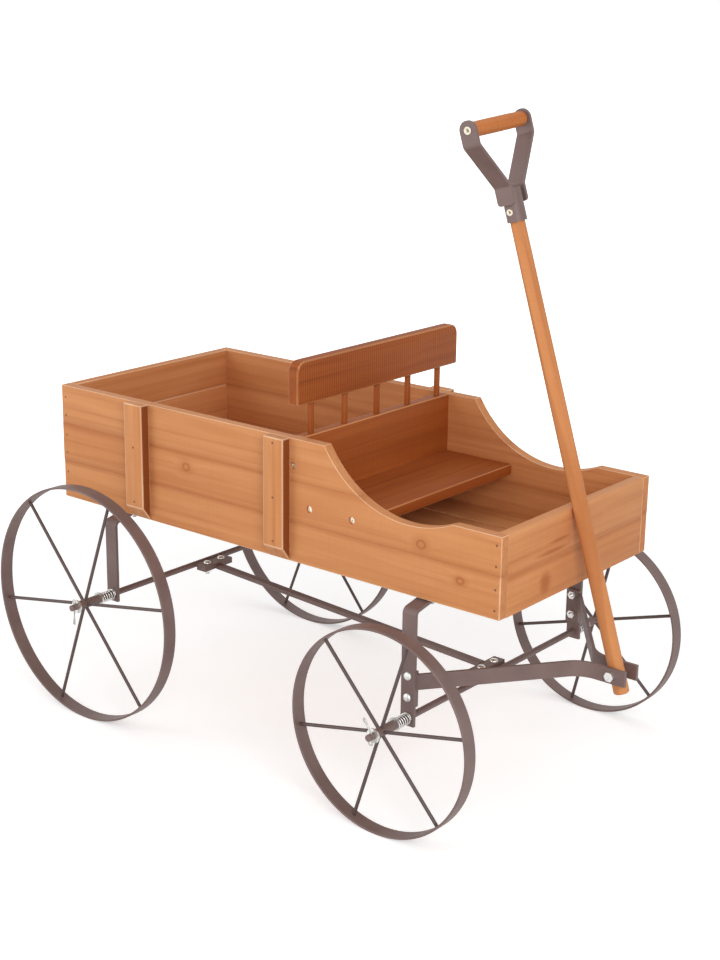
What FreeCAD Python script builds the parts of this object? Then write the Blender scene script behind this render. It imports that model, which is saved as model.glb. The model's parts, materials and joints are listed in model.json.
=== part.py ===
import FreeCAD, Part
import Sketcher
import math
import os
from types import SimpleNamespace

# A small wooden buckboard cart for pots of flowers: a planked box with a low driver's seat,
# carried on four spoked iron wheels, with a pole handle that leans on the front panel.
# Millimetres. +X is the way the cart is pulled, +Z is up, Y = 0 is its middle plane.
# The origin is on the ground, under the middle of the overall length.

Vector = FreeCAD.Vector
Rotation = FreeCAD.Rotation
os.makedirs("parts", exist_ok=True)
doc = FreeCAD.newDocument("flower_cart")

driving = [
    ("overall_length", 618.0, "back of the rear wheels to the front end of the yoke"),
    ("box_length", 524.0, "wooden box, outside"),
    ("box_setback", 12.4, "middle of the overall length back to the middle of the box"),
    ("box_width", 234.0, "wooden box, outside"),
    ("box_bottom", 196.0, "ground to the underside of the box"),
    ("board", 10.0, "thickness of the planks"),
    ("side_height", 114.0, "three planks"),
    ("front_height", 72.0, "front panel, two planks"),
    ("front_lower_plank", 34.0, "height of the lower front plank"),
    ("floor_thick", 9.0, "thickness of the floor boards"),
    ("floor_gap", 2.0, "drain gap between floor boards"),
    ("scoop_radius", 108.0, "curved dip in both sides beside the seat"),
    ("scoop_low", 62.0, "lowest point of the dip above the underside"),
    ("scoop_inset", 95.0, "front of the box back to the middle of the dip"),
    ("divider_front", 218.0, "front of the box back to the front face of the divider"),
    ("seat_depth", 76.0, "seat board, front to back"),
    ("seat_height", 52.6, "underside of the box to the middle of the seat board"),
    ("batten_width", 23.5, "upright battens on the outside"),
    ("batten_thick", 10.0, "upright battens on the outside"),
    ("batten_bevel", 13.0, "height of the slope at a batten's foot"),
    ("rear_batten_inset", 97.7, "back of the box to the rear batten"),
    ("front_batten_inset", 249.7, "front of the box back to the rear edge of the front batten"),
    ("rail_height", 39.0, "top rail of the seat back"),
    ("rail_thick", 11.0, "top rail of the seat back"),
    ("rail_corner", 10.0, "rounded upper corners of the rail"),
    ("spindle_width", 5.0, "square spindles, across the cart"),
    ("spindle_thick", 4.0, "square spindles, along the cart"),
    ("spindle_height", 29.0, "divider top to the underside of the rail"),
    ("spindle_pitch", 46.5, "spacing of the spindles"),
    ("rear_wheel_radius", 116.0, "outside of the iron band"),
    ("front_wheel_radius", 92.4, "outside of the iron band"),
    ("front_axle_inset", 79.6, "front of the box back to the front axle"),
    ("band_width", 14.0, "flat iron band of each wheel"),
    ("band_thick", 2.0, "flat iron band of each wheel"),
    ("band_edge", 0.4, "softened edges of the band"),
    ("band_setback", 9.0, "outer end of the hub back to the middle of the band"),
    ("spoke_radius", 1.6, "round rod spokes"),
    ("hub_radius", 4.4, "outside of the hub tube"),
    ("hub_length", 26.0, "hub tube"),
    ("axle_radius", 3.0, "round axle rod"),
    ("axle_past_washer", 6.5, "axle end beyond the outer washer"),
    ("cotter_past_washer", 2.8, "cotter pin beyond the outer washer"),
    ("cotter_radius", 0.7, "wire pair of a cotter pin"),
    ("cotter_eye_radius", 1.9, "middle of the wire in the cotter's eye"),
    ("cotter_leg", 7.0, "cotter leg past the axle's middle"),
    ("washer_radius", 6.5, "plain washers on the axles"),
    ("washer_thick", 1.2, "plain washers on the axles"),
    ("side_play", 0.3, "gap between a turning hub and what it runs against"),
    ("running_clearance", 0.06, "radial gap of a bore on its shaft"),
    ("fixed_clearance", 0.08, "radial gap of a bolt, nail or screw in its hole"),
    ("spring_length", 17.5, "coil spring between the leg and the inner washer"),
    ("spring_radius", 4.8, "middle of the wire from the axle's middle"),
    ("spring_wire", 1.2, "diameter of the spring wire"),
    ("spring_lead", 1.8, "axial run from the straight end into the first turn"),
    ("strap_width", 14.0, "bent iron straps"),
    ("strap_thick", 3.0, "bent iron straps"),
    ("strap_bend", 3.0, "inside radius of the hanger bends"),
    ("leg_stand_off", 13.0, "side of the box to the inner face of a leg"),
    ("shoulder_inset", 9.0, "side of the box in to where the shoulder starts to drop"),
    ("shoulder_drop", 5.0, "fall of the shoulder between floor and leg"),
    ("leg_below_axle", 7.0, "leg end below the axle's middle"),
    ("low_bolt_over_axle", 19.1, "lower leg bolt above the front axle"),
    ("high_bolt_over_axle", 38.6, "upper leg bolt above the front axle"),
    ("bolt_radius", 2.0, "shank of the small bolts"),
    ("bolt_head_radius", 3.9, "round head of the small bolts"),
    ("bolt_head_top", 2.8, "flat top of the round head"),
    ("bolt_head_height", 2.2, "round head of the small bolts"),
    ("nut_radius", 4.04, "corner radius of the small nuts"),
    ("nut_height", 3.2, "small nuts"),
    ("bolt_past_nut", 2.5, "bolt end beyond its nut"),
    ("hanger_bolt_inset", 6.0, "inner face of the side to the hanger bolt"),
    ("lug_length", 16.0, "axle's middle to the front of the lug"),
    ("lug_start", 2.0, "axle's middle to the back of the lug"),
    ("tee_start", 4.2, "axle's middle to the cross plate"),
    ("lug_width", 40.0, "lugs and cross plates, across the cart"),
    ("lug_thick", 3.0, "lugs and cross plates"),
    ("reach_bolt_offset", 9.4, "axle's middle to the two lug bolts"),
    ("reach_bolt_pitch", 20.0, "spacing of the two lug bolts"),
    ("reach_width", 8.0, "long bar between the axles"),
    ("reach_thick", 4.0, "long bar between the axles"),
    ("yoke_above_axle", 34.0, "front axle up to the yoke's middle"),
    ("yoke_gap", 8.6, "middle plane to the inner face of a yoke arm at the pole"),
    ("pivot_inset", 14.0, "front end of the yoke back to the pivot bolt"),
    ("yoke_nose", 42.0, "length of the parallel part of the yoke"),
    ("yoke_curve", 26.0, "inside radius of the yoke's front bend"),
    ("foot_past_leg", 1.0, "yoke foot ahead of the leg before it bends inward"),
    ("foot_below", 23.0, "yoke foot below the yoke's middle"),
    ("foot_above", 9.5, "yoke foot above the yoke's middle"),
    ("pivot_radius", 2.5, "pivot bolt shank"),
    ("pivot_head_radius", 4.62, "corner radius of the pivot bolt's hex head and nut"),
    ("pivot_head_height", 3.5, "pivot bolt's hex head"),
    ("pivot_nut_height", 4.0, "pivot bolt's nut"),
    ("pole_radius", 6.9, "wooden pole, lower part"),
    ("pole_top_radius", 6.2, "wooden pole, in the socket"),
    ("pole_tail", 18.7, "pole below the pivot"),
    ("taper_start", 240.0, "pivot to where the pole starts to narrow"),
    ("socket_start", 394.5, "pivot to the lower edge of the socket tube"),
    ("socket_length", 27.5, "socket tube"),
    ("socket_radius", 8.35, "outside of the socket tube"),
    ("rest_gap", 0.2, "pole to the top edge of the front panel"),
    ("pole_tilt", 4.05, "sideways lean of the pole, degrees"),
    ("grip_height", 52.5, "upper end of the socket tube to the grip's middle line"),
    ("grip_radius", 6.4, "wooden grip"),
    ("grip_length", 76.0, "wooden grip, between the two arms"),
    ("grip_crown", 0.5, "how much the grip thins towards its ends"),
    ("arm_width", 16.0, "flat handle arms"),
    ("arm_thick", 2.7, "flat handle arms"),
    ("arm_lap", 13.0, "handle arm along the socket tube"),
    ("arm_bend", 3.0, "inside radius of the handle arms' bends"),
    ("arm_straight", 12.0, "grip's middle down to the arm's upper bend"),
    ("rivet_radius", 2.4, "barrel of the hollow rivets"),
    ("rivet_bore", 1.5, "bore of the hollow rivets"),
    ("rivet_flange", 4.2, "flange of the hollow rivets"),
    ("rivet_flange_thick", 0.9, "flange of the hollow rivets"),
    ("rivet_depth", 9.0, "hollow rivet inside the grip"),
    ("socket_rivet_radius", 1.6, "rivet through tube and pole"),
    ("socket_rivet_head", 3.0, "head of that rivet"),
    ("socket_rivet_height", 8.5, "rivet above the tube's lower edge"),
    ("nail_radius", 1.4, "flush nails"),
    ("nail_length", 18.0, "flush nails"),
    ("nail_low", 8.0, "lower of the two nails above a plank's edge"),
    ("nail_high", 26.0, "upper of the two nails above a plank's edge"),
    ("batten_nail_low", 18.5, "batten nails above the underside"),
    ("batten_nail_middle", 59.0, "batten nails above the underside"),
    ("batten_nail_top", 109.0, "batten nails above the underside"),
    ("rear_batten_nail", 72.0, "upper nail of the rear batten above the underside"),
    ("screw_head_radius", 3.2, "zinc screws in the sides"),
    ("screw_head_height", 1.6, "zinc screws in the sides"),
    ("screw_sunk", 1.6, "screw head below the face of the side"),
    ("screw_radius", 1.7, "zinc screws in the sides"),
    ("screw_length", 24.0, "zinc screws in the sides"),
    ("divider_screw", 89.0, "divider screw above the underside"),
    ("seat_screw_inset", 14.0, "seat screws from the seat board's edges"),
    ("spokes_rear_right", 10.4, "angle of the first spoke, degrees"),
    ("spokes_rear_left", 8.6, "angle of the first spoke, degrees"),
    ("spokes_front_right", 12.3, "angle of the first spoke, degrees"),
    ("spokes_front_left", 17.0, "angle of the first spoke, degrees"),
]

spoke_count = 6
floor_board_count = 5
side_rows = ["lower", "middle", "upper"]
spring_turns = 5
overcut = 5.0  # how far a cutting solid runs past what it cuts
sides = [("right", -1), ("left", 1)]

sheet = doc.addObject("Spreadsheet::Sheet", "sizes")
for row, (alias, amount, note) in enumerate(driving, start=1):
    sheet.set(f"A{row}", note)
    sheet.set(f"B{row}", str(amount))
    sheet.setAlias(f"B{row}", alias)
doc.recompute()


class Size:
    """A number together with the expression that gives it from the sheet."""

    def __init__(self, value, text):
        self.value = value
        self.text = text

    def __add__(self, other):
        other = as_size(other)
        return Size(self.value + other.value, f"({self.text} + {other.text})")

    def __radd__(self, other):
        return as_size(other) + self

    def __sub__(self, other):
        other = as_size(other)
        return Size(self.value - other.value, f"({self.text} - {other.text})")

    def __rsub__(self, other):
        return as_size(other) - self

    def __mul__(self, other):
        other = as_size(other)
        return Size(self.value * other.value, f"({self.text} * {other.text})")

    def __rmul__(self, other):
        return as_size(other) * self

    def __truediv__(self, other):
        other = as_size(other)
        return Size(self.value / other.value, f"({self.text} / {other.text})")

    def __neg__(self):
        return Size(-self.value, f"(0 - {self.text})")


def as_size(amount):
    """A plain number is its own expression."""
    if isinstance(amount, Size):
        return amount
    if amount < 0:
        return Size(amount, f"(0 - {-amount})")
    return Size(amount, f"{amount}")


size = SimpleNamespace(**{alias: Size(float(sheet.get(alias)), f"sizes.{alias}") for alias, _, _ in driving})

# Places along the cart
yoke_end = size.overall_length / 2
rear_axle_x = size.rear_wheel_radius - size.overall_length / 2
pivot_x = yoke_end - size.pivot_inset
box_back = -size.box_setback - size.box_length / 2
box_front = box_back + size.box_length
front_axle_x = box_front - size.front_axle_inset
divider_face = box_front - size.divider_front
divider_middle = divider_face - size.board / 2
scoop_x = box_front - size.scoop_inset

# Heights
box_top = size.box_bottom + size.side_height
plank_height = size.side_height / len(side_rows)
floor_top = size.box_bottom + size.floor_thick
front_top = size.box_bottom + size.front_height
pivot_z = size.front_wheel_radius + size.yoke_above_axle

# Places across the cart, from the middle plane
box_half = size.box_width / 2
inner_half = box_half - size.board
leg_inner = box_half + size.leg_stand_off
leg_outer = leg_inner + size.strap_thick
inner_washer = leg_outer + size.spring_length
hub_start = inner_washer + size.washer_thick + size.side_play
hub_end = hub_start + size.hub_length
outer_washer = hub_end + size.side_play
washer_outside = outer_washer + size.washer_thick
axle_half = washer_outside + size.axle_past_washer
band_middle = hub_end - size.band_setback

turns = {
    "z": Rotation(),
    "-z": Rotation(Vector(1, 0, 0), 180),
    "y": Rotation(Vector(1, 0, 0), -90),
    "-y": Rotation(Vector(1, 0, 0), 90),
}
outward = {-1: "-y", 1: "y"}
inward = {-1: "y", 1: "-y"}
parts = []


# ---- helpers

def bind(item, field, amount):
    item.setExpression(field, as_size(amount).text)


def put(item, x, y, z, turn=None):
    """Places an object, its position bound to the sheet."""
    item.Placement = FreeCAD.Placement(Vector(), turn or Rotation())
    for axis, amount in zip("xyz", (x, y, z)):
        bind(item, f"Placement.Base.{axis}", amount)
    return item


def block(name, x0, x1, y0, y1, z0, z1):
    item = doc.addObject("Part::Box", name)
    bind(item, "Length", x1 - x0)
    bind(item, "Width", y1 - y0)
    bind(item, "Height", z1 - z0)
    return put(item, x0, y0, z0)


def cylinder(name, radius, length, x, y, z, turn):
    item = doc.addObject("Part::Cylinder", name)
    bind(item, "Radius", radius)
    bind(item, "Height", length)
    return put(item, x, y, z, turn)


def cone(name, radius, end_radius, length, x, y, z, turn):
    item = doc.addObject("Part::Cone", name)
    bind(item, "Radius1", radius)
    bind(item, "Radius2", end_radius)
    bind(item, "Height", length)
    return put(item, x, y, z, turn)


def hexagon(name, radius, length, x, y, z, turn):
    item = doc.addObject("Part::Prism", name)
    item.Polygon = 6
    bind(item, "Circumradius", radius)
    bind(item, "Height", length)
    return put(item, x, y, z, turn)


def fuse(name, items):
    item = doc.addObject("Part::MultiFuse", name)
    item.Shapes = items
    return item


def cut(name, base, tools):
    """Takes the tools away from the base."""
    item = doc.addObject("Part::Cut", name)
    item.Base = base
    item.Tool = tools[0] if len(tools) == 1 else fuse(f"{name}_tools", tools)
    return item


def group(name, items):
    item = doc.addObject("Part::Compound", name)
    item.Links = items
    return item


def part(item, label):
    """Marks an object as a finished piece of the cart."""
    item.Label = label
    parts.append(item)
    return item


def new_body(name):
    return doc.addObject("PartDesign::Body", name)


def new_sketch(body, role):
    sketch = body.newObject("Sketcher::SketchObject", f"{body.Name}_sketch")
    plane = next(item for item in body.Origin.OriginFeatures if item.Role == role)
    sketch.AttachmentSupport = [(plane, "")]
    sketch.MapMode = "FlatFace"
    return sketch


def fix_corner(sketch, line, across, up):
    """Ties the start of a line to its place in the sketch."""
    for kind, amount in (("DistanceX", across), ("DistanceY", up)):
        index = sketch.addConstraint(Sketcher.Constraint(kind, -1, 1, line, 1, as_size(amount).value))
        sketch.setExpression(f"Constraints[{index}]", as_size(amount).text)


def close_lines(sketch, corners):
    """Draws a closed chain of lines through the corners."""
    spots = [Vector(as_size(across).value, as_size(up).value, 0) for across, up in corners]
    for start, end in zip(spots, spots[1:] + spots[:1]):
        sketch.addGeometry(Part.LineSegment(start, end), False)
    for line in range(len(spots)):
        following = (line + 1) % len(spots)
        sketch.addConstraint(Sketcher.Constraint("Coincident", line, 2, following, 1))


def polygon(body, role, corners):
    """A closed outline, each corner bound to the sheet."""
    sketch = new_sketch(body, role)
    close_lines(sketch, corners)
    for line, (across, up) in enumerate(corners):
        fix_corner(sketch, line, across, up)
    return sketch


def offset_line(spots, thickness):
    """The corners of a bent line moved to its left by the thickness."""
    ways = [(end - start).normalize() for start, end in zip(spots, spots[1:])]
    lefts = [Vector(-way.y, way.x, 0) for way in ways]
    moved = [spots[0] + lefts[0] * thickness]
    for spot, before, after in zip(spots[1:-1], lefts, lefts[1:]):
        corner = before + after
        moved.append(spot + corner * (2 * thickness / corner.dot(corner)))
    moved.append(spots[-1] + lefts[-1] * thickness)
    return moved


def strap_outline(body, role, corners, thickness):
    """The edge view of a bent strap that lies to the left of the bound corners."""
    sketch = new_sketch(body, role)
    spots = [Vector(as_size(across).value, as_size(up).value, 0) for across, up in corners]
    far = offset_line(spots, thickness.value)
    close_lines(sketch, [(spot.x, spot.y) for spot in spots + far[::-1]])
    count = len(spots)
    for line, (across, up) in enumerate(corners):
        fix_corner(sketch, line, across, up)
    for near in range(count - 1):
        opposite = 2 * count - 2 - near
        sketch.addConstraint(Sketcher.Constraint("Parallel", near, opposite))
        index = sketch.addConstraint(Sketcher.Constraint("Distance", opposite, 1, near, thickness.value))
        sketch.setExpression(f"Constraints[{index}]", thickness.text)
    sketch.addConstraint(Sketcher.Constraint("Perpendicular", count - 2, count - 1))
    sketch.addConstraint(Sketcher.Constraint("Perpendicular", 2 * count - 1, 0))
    return sketch, spots, far


def pad(body, sketch, length):
    feature = body.newObject("PartDesign::Pad", f"{body.Name}_pad")
    feature.Profile = sketch
    bind(feature, "Length", length)
    return feature


def round_edges(body, radius, wanted):
    """Rounds the edges that a test picks from the body's last feature."""
    doc.recompute()
    last = body.Tip
    names = [f"Edge{i}" for i, edge in enumerate(last.Shape.Edges, start=1) if wanted(edge)]
    feature = body.newObject("PartDesign::Fillet", f"{body.Name}_round")
    feature.Base = (last, names)
    bind(feature, "Radius", radius)
    return feature


def along_x(edge):
    return len(edge.Vertexes) == 2 and abs(edge.tangentAt(edge.FirstParameter).x) > 0.999


def along_z(edge):
    return len(edge.Vertexes) == 2 and abs(edge.tangentAt(edge.FirstParameter).z) > 0.999


def at_spot(edge, spot, plane):
    """True if the edge passes through a corner of the sketch on that plane."""
    middle = edge.CenterOfMass
    across, up = (middle.y, middle.z) if plane == "yz" else (middle.x, middle.y)
    return abs(across - spot.x) < 0.02 and abs(up - spot.y) < 0.02


def bend_strap(body, plane, spots, far, radii, thickness):
    """Rounds each bend of a strap inside and out."""
    straight = along_x if plane == "yz" else along_z
    for index, radius in enumerate(radii, start=1):
        before = spots[index] - spots[index - 1]
        after = spots[index + 1] - spots[index]
        left_turn = before.cross(after).z > 0
        tight, wide = (far[index], spots[index]) if left_turn else (spots[index], far[index])
        round_edges(body, radius, lambda edge: straight(edge) and at_spot(edge, tight, plane))
        round_edges(body, radius + thickness, lambda edge: straight(edge) and at_spot(edge, wide, plane))


def nail_hole(name, x, side, face, z):
    """The hole that a nail fills, driven in from an outer face."""
    radius = size.nail_radius + size.fixed_clearance
    depth = size.nail_length + size.fixed_clearance
    return cylinder(name, radius, depth, x, side * face, z, turns[inward[side]])


# ---- fastener places, shared by the holes and the fasteners

batten_face = box_half + size.batten_thick
batten_backs = [("rear", box_back + size.rear_batten_inset), ("front", box_front - size.front_batten_inset)]
batten_nails = {
    "rear": [size.batten_nail_low, size.rear_batten_nail],
    "front": [size.batten_nail_low, size.batten_nail_middle, size.batten_nail_top],
}


def nail_spots():
    """x, distance of the face from the middle plane and z of each nail on one side."""
    spots = []
    rows_at = ((box_back + size.board / 2, len(side_rows)), (box_front - size.board / 2, len(side_rows) - 1))
    for x, rows in rows_at:
        for row in range(rows):
            bottom = size.box_bottom + plank_height * row
            spots += [(x, box_half, bottom + height) for height in (size.nail_low, size.nail_high)]
    for place, back in batten_backs:
        for height in batten_nails[place]:
            spots.append((back + size.batten_width / 2, batten_face, size.box_bottom + height))
    return spots


def screw_spots():
    """x and z of the screws on one side: one into the divider, two into the seat board."""
    seat_z = size.box_bottom + size.seat_height
    return [
        (divider_middle, size.box_bottom + size.divider_screw),
        (divider_face + size.seat_screw_inset, seat_z),
        (divider_face + size.seat_depth - size.seat_screw_inset, seat_z),
    ]


def screw_solids(name, side, above, clearance):
    """Head and shank of each screw on one side, or their holes with room above the head and all round."""
    face = side * (box_half - size.screw_sunk + above)
    solids = []
    for number, (x, z) in enumerate(screw_spots()):
        head = cylinder(f"{name}_head_{number}", size.screw_head_radius + clearance,
                        size.screw_head_height + above + clearance, x, face, z, turns[inward[side]])
        shank = cylinder(f"{name}_shank_{number}", size.screw_radius + clearance,
                         size.screw_length + above + clearance, x, face, z, turns[inward[side]])
        solids.append(fuse(f"{name}_{number}", [head, shank]))
    return solids


# ---- box: sides, ends, floor, divider, seat

side_cutters = {}
for side_name, side in sides:
    holes = [nail_hole(f"nail_hole_{side_name}_{number}", x, side, face, z)
             for number, (x, face, z) in enumerate(nail_spots())]
    holes += screw_solids(f"screw_hole_{side_name}", side, size.screw_sunk, size.fixed_clearance)
    side_cutters[side] = group(f"fastener_holes_{side_name}", holes)


def side_planks():
    """Three planks a side; a round dip beside the seat drops to the height of the front panel."""
    dip_z = size.box_bottom + size.scoop_low + size.scoop_radius
    dip = cylinder("dip", size.scoop_radius, size.box_width + 2 * overcut,
                   scoop_x, -box_half - overcut, dip_z, turns["y"])
    step = block("dip_step", scoop_x, box_front + overcut, -box_half - overcut, box_half + overcut,
                 front_top, box_top + overcut)
    shape = fuse("dip_cutter", [dip, step])
    for side_name, side in sides:
        low_y = -box_half if side < 0 else inner_half
        for row, row_name in enumerate(side_rows):
            bottom = size.box_bottom + plank_height * row
            label = f"side_plank_{row_name}_{side_name}"
            raw = block(f"raw_{label}", box_back, box_front, low_y, low_y + size.board,
                        bottom, bottom + plank_height)
            dipped = cut(f"dipped_{label}", raw, [shape])
            part(cut(label, dipped, [side_cutters[side]]), label)


def drilled(label, raw):
    """An inner board with the nail and screw holes of both sides."""
    once = cut(f"once_{label}", raw, [side_cutters[-1]])
    return part(cut(label, once, [side_cutters[1]]), label)


def end_planks():
    """The end panels stand between the sides, nailed through them."""
    for row, row_name in enumerate(side_rows):
        bottom = size.box_bottom + plank_height * row
        raw = block(f"raw_rear_{row_name}", box_back, box_back + size.board, -inner_half, inner_half,
                    bottom, bottom + plank_height)
        drilled(f"rear_plank_{row_name}", raw)
    seam = size.box_bottom + size.front_lower_plank
    for row_name, low, high in (("lower", size.box_bottom, seam), ("upper", seam, front_top)):
        raw = block(f"raw_front_{row_name}", box_front - size.board, box_front, -inner_half, inner_half,
                    low, high)
        drilled(f"front_plank_{row_name}", raw)


def hanger_bolt_spots():
    """x and y of the four bolts that hold the two hangers under the floor."""
    reach = inner_half - size.hanger_bolt_inset
    return [(x, side * reach) for x in (rear_axle_x, front_axle_x) for _, side in sides]


def floor_boards():
    """Boards along the box with drain gaps, between the end panels."""
    width = (2 * inner_half - size.floor_gap * (floor_board_count - 1)) / floor_board_count
    holes = [cylinder(f"floor_hole_{number}", size.bolt_radius + size.fixed_clearance,
                      size.floor_thick + 2 * overcut, x, y, size.box_bottom - overcut, turns["z"])
             for number, (x, y) in enumerate(hanger_bolt_spots())]
    holes = group("floor_holes", holes)
    boards = []
    for number in range(floor_board_count):
        low_y = -inner_half + (width + size.floor_gap) * number
        raw = block(f"raw_floor_{number}", box_back + size.board, box_front - size.board,
                    low_y, low_y + width, size.box_bottom, floor_top)
        boards.append(cut(f"floor_board_{number}", raw, [holes]))
    part(group("floor_boards", boards), "floor_boards")


def divider_and_seat():
    """A cross board splits the box; the seat board sits ahead of it, screwed through the sides."""
    divider = block("raw_divider", divider_face - size.board, divider_face, -inner_half, inner_half,
                    floor_top, box_top)
    drilled("divider_board", divider)
    middle = size.box_bottom + size.seat_height
    seat = block("raw_seat", divider_face, divider_face + size.seat_depth, -inner_half, inner_half,
                 middle - size.board / 2, middle + size.board / 2)
    drilled("seat_board", seat)


def battens():
    """Upright battens outside each side, their feet bevelled back to the planks."""
    for side_name, side in sides:
        holes = group(f"batten_holes_{side_name}", side_cutters[side].Links)
        for place, back in batten_backs:
            label = f"batten_{place}_{side_name}"
            body = new_body(f"body_{label}")
            sketch = polygon(body, "YZ_Plane", [
                (side * box_half, size.box_bottom),
                (side * batten_face, size.box_bottom + size.batten_bevel),
                (side * batten_face, box_top),
                (side * box_half, box_top),
            ])
            pad(body, sketch, size.batten_width)
            put(body, back, 0, 0)
            part(cut(label, body, [holes]), label)


def seat_back():
    """Square spindles on the divider carry a rail with rounded upper corners."""
    rail_bottom = box_top + size.spindle_height
    rail_top = rail_bottom + size.rail_height
    body = new_body("backrest_rail")
    sketch = polygon(body, "YZ_Plane", [
        (-box_half, rail_bottom), (box_half, rail_bottom), (box_half, rail_top), (-box_half, rail_top),
    ])
    pad(body, sketch, size.rail_thick)
    round_edges(body, size.rail_corner,
                lambda edge: along_x(edge) and abs(edge.CenterOfMass.z - rail_top.value) < 0.01)
    put(body, divider_middle - size.rail_thick / 2, 0, 0)
    part(body, "backrest_rail")
    spindles = []
    for number in (-2, -1, 0, 1, 2):
        middle = size.spindle_pitch * number
        spindles.append(block(f"spindle_{number + 3}",
                              divider_middle - size.spindle_thick / 2,
                              divider_middle + size.spindle_thick / 2,
                              middle - size.spindle_width / 2, middle + size.spindle_width / 2,
                              box_top, rail_bottom))
    part(group("backrest_spindles", spindles), "backrest_spindles")


def wood_fasteners():
    """Flush nails and sunk screws in both sides."""
    nails = []
    screws = []
    for side_name, side in sides:
        for number, (x, face, z) in enumerate(nail_spots()):
            nails.append(cylinder(f"nail_{side_name}_{number}", size.nail_radius, size.nail_length,
                                  x, side * face, z, turns[inward[side]]))
        screws += screw_solids(f"screw_{side_name}", side, 0, 0)
    part(group("flush_nails", nails), "flush_nails")
    part(group("side_screws", screws), "side_screws")


# ---- running gear: hangers, axles, reach

def leg_bolt_heights():
    return [size.front_wheel_radius + over for over in (size.low_bolt_over_axle, size.high_bolt_over_axle)]


def cross_hole(name, radius, x, z):
    """A hole right across the cart."""
    reach = axle_half + overcut
    return cylinder(name, radius, 2 * reach, x, -reach, z, turns["y"])


def hanger(label, axle_x, axle_z, bolt_heights):
    """A strap under the floor with a dropped shoulder and a leg at each end for the axle."""
    body = new_body(f"body_{label}")
    low = axle_z - size.leg_below_axle
    leg_top = size.box_bottom - size.shoulder_drop
    shoulder = box_half - size.shoulder_inset
    corners = [
        (-leg_outer, low), (-leg_outer, leg_top), (-shoulder, size.box_bottom),
        (shoulder, size.box_bottom), (leg_outer, leg_top), (leg_outer, low),
    ]
    # Drawn from right to left, so that the strap lies below its upper face
    sketch, spots, far = strap_outline(body, "YZ_Plane", corners[::-1], size.strap_thick)
    pad(body, sketch, size.strap_width)
    bend_strap(body, "yz", spots, far, [size.strap_bend] * 4, size.strap_thick)
    put(body, axle_x - size.strap_width / 2, 0, 0)
    holes = [cross_hole(f"{label}_axle_hole", size.axle_radius + size.fixed_clearance, axle_x, axle_z)]
    for number, height in enumerate(bolt_heights):
        holes.append(cross_hole(f"{label}_bolt_hole_{number}", size.bolt_radius + size.fixed_clearance,
                                axle_x, height))
    for side_name, side in sides:
        holes.append(cylinder(f"{label}_floor_hole_{side_name}", size.bolt_radius + size.fixed_clearance,
                              size.strap_thick + 2 * overcut, axle_x,
                              side * (inner_half - size.hanger_bolt_inset),
                              size.box_bottom - size.strap_thick - overcut, turns["z"]))
    part(cut(label, body, holes), label)


def axle(label, x, z):
    """A round rod through both legs, drilled near each end for a cotter pin."""
    rod = cylinder(f"rod_{label}", size.axle_radius, 2 * axle_half, x, -axle_half, z, turns["y"])
    holes = []
    for side_name, side in sides:
        holes.append(cylinder(f"{label}_cotter_hole_{side_name}", size.cotter_radius + size.fixed_clearance,
                              2 * (size.axle_radius + overcut), x,
                              side * (washer_outside + size.cotter_past_washer),
                              z - size.axle_radius - overcut, turns["z"]))
    part(cut(label, rod, holes), label)


def reach_bolt_spots():
    """x, y and the upper face of the plates under each lug bolt."""
    rear = rear_axle_x + size.reach_bolt_offset
    front = front_axle_x - size.reach_bolt_offset
    half = size.reach_bolt_pitch / 2
    rear_top = size.rear_wheel_radius + size.lug_thick / 2
    fore_top = size.front_wheel_radius + size.lug_thick * 1.5
    places = ((rear, rear_top), (front, fore_top))
    return [(x, across, top) for x, top in places for across in (-half, half)]


def lugs_and_reach():
    """Lugs welded to the axles, cross plates bolted to them, and the long bar between the plates."""
    half = size.lug_width / 2
    bolts = [cylinder(f"lug_hole_{number}", size.bolt_radius + size.fixed_clearance,
                      6 * size.lug_thick + 2 * overcut, x, y, top - 3 * size.lug_thick - overcut, turns["z"])
             for number, (x, y, top) in enumerate(reach_bolt_spots())]
    bolts = group("lug_holes", bolts)
    places = [("rear", rear_axle_x, size.rear_wheel_radius, 1, -1),
              ("front", front_axle_x, size.front_wheel_radius, -1, 1)]
    plates = []
    ends = []
    for name, x, z, ahead, above in places:
        edges = sorted([x + size.lug_start * ahead, x + size.lug_length * ahead], key=lambda edge: edge.value)
        raw = block(f"raw_{name}_lug", edges[0], edges[1], -half, half,
                    z - size.lug_thick / 2, z + size.lug_thick / 2)
        rod = cylinder(f"{name}_lug_notch", size.axle_radius, 2 * half + 2 * overcut,
                       x, -half - overcut, z, turns["y"])
        notched = cut(f"notched_{name}_lug", raw, [rod])
        part(cut(f"{name}_axle_lug", notched, [bolts]), f"{name}_axle_lug")
        edges = sorted([x + size.tee_start * ahead, x + size.lug_length * ahead], key=lambda edge: edge.value)
        middle = z + size.lug_thick * above
        raw = block(f"raw_{name}_plate", edges[0], edges[1], -half, half,
                    middle - size.lug_thick / 2, middle + size.lug_thick / 2)
        plates.append(cut(f"{name}_plate", raw, [bolts]))
        ends.append((x + size.lug_length * ahead, middle))
    part(group("cross_plates", plates), "cross_plates")
    (back_x, back_z), (fore_x, fore_z) = ends
    body = new_body("reach_bar")
    drop = size.reach_thick / 2
    sketch = polygon(body, "XZ_Plane", [
        (back_x, back_z - drop), (fore_x, fore_z - drop), (fore_x, fore_z + drop), (back_x, back_z + drop),
    ])
    pad(body, sketch, size.reach_width)
    put(body, 0, size.reach_width / 2, 0)
    part(body, "reach_bar")


# ---- yoke and pivot

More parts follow.
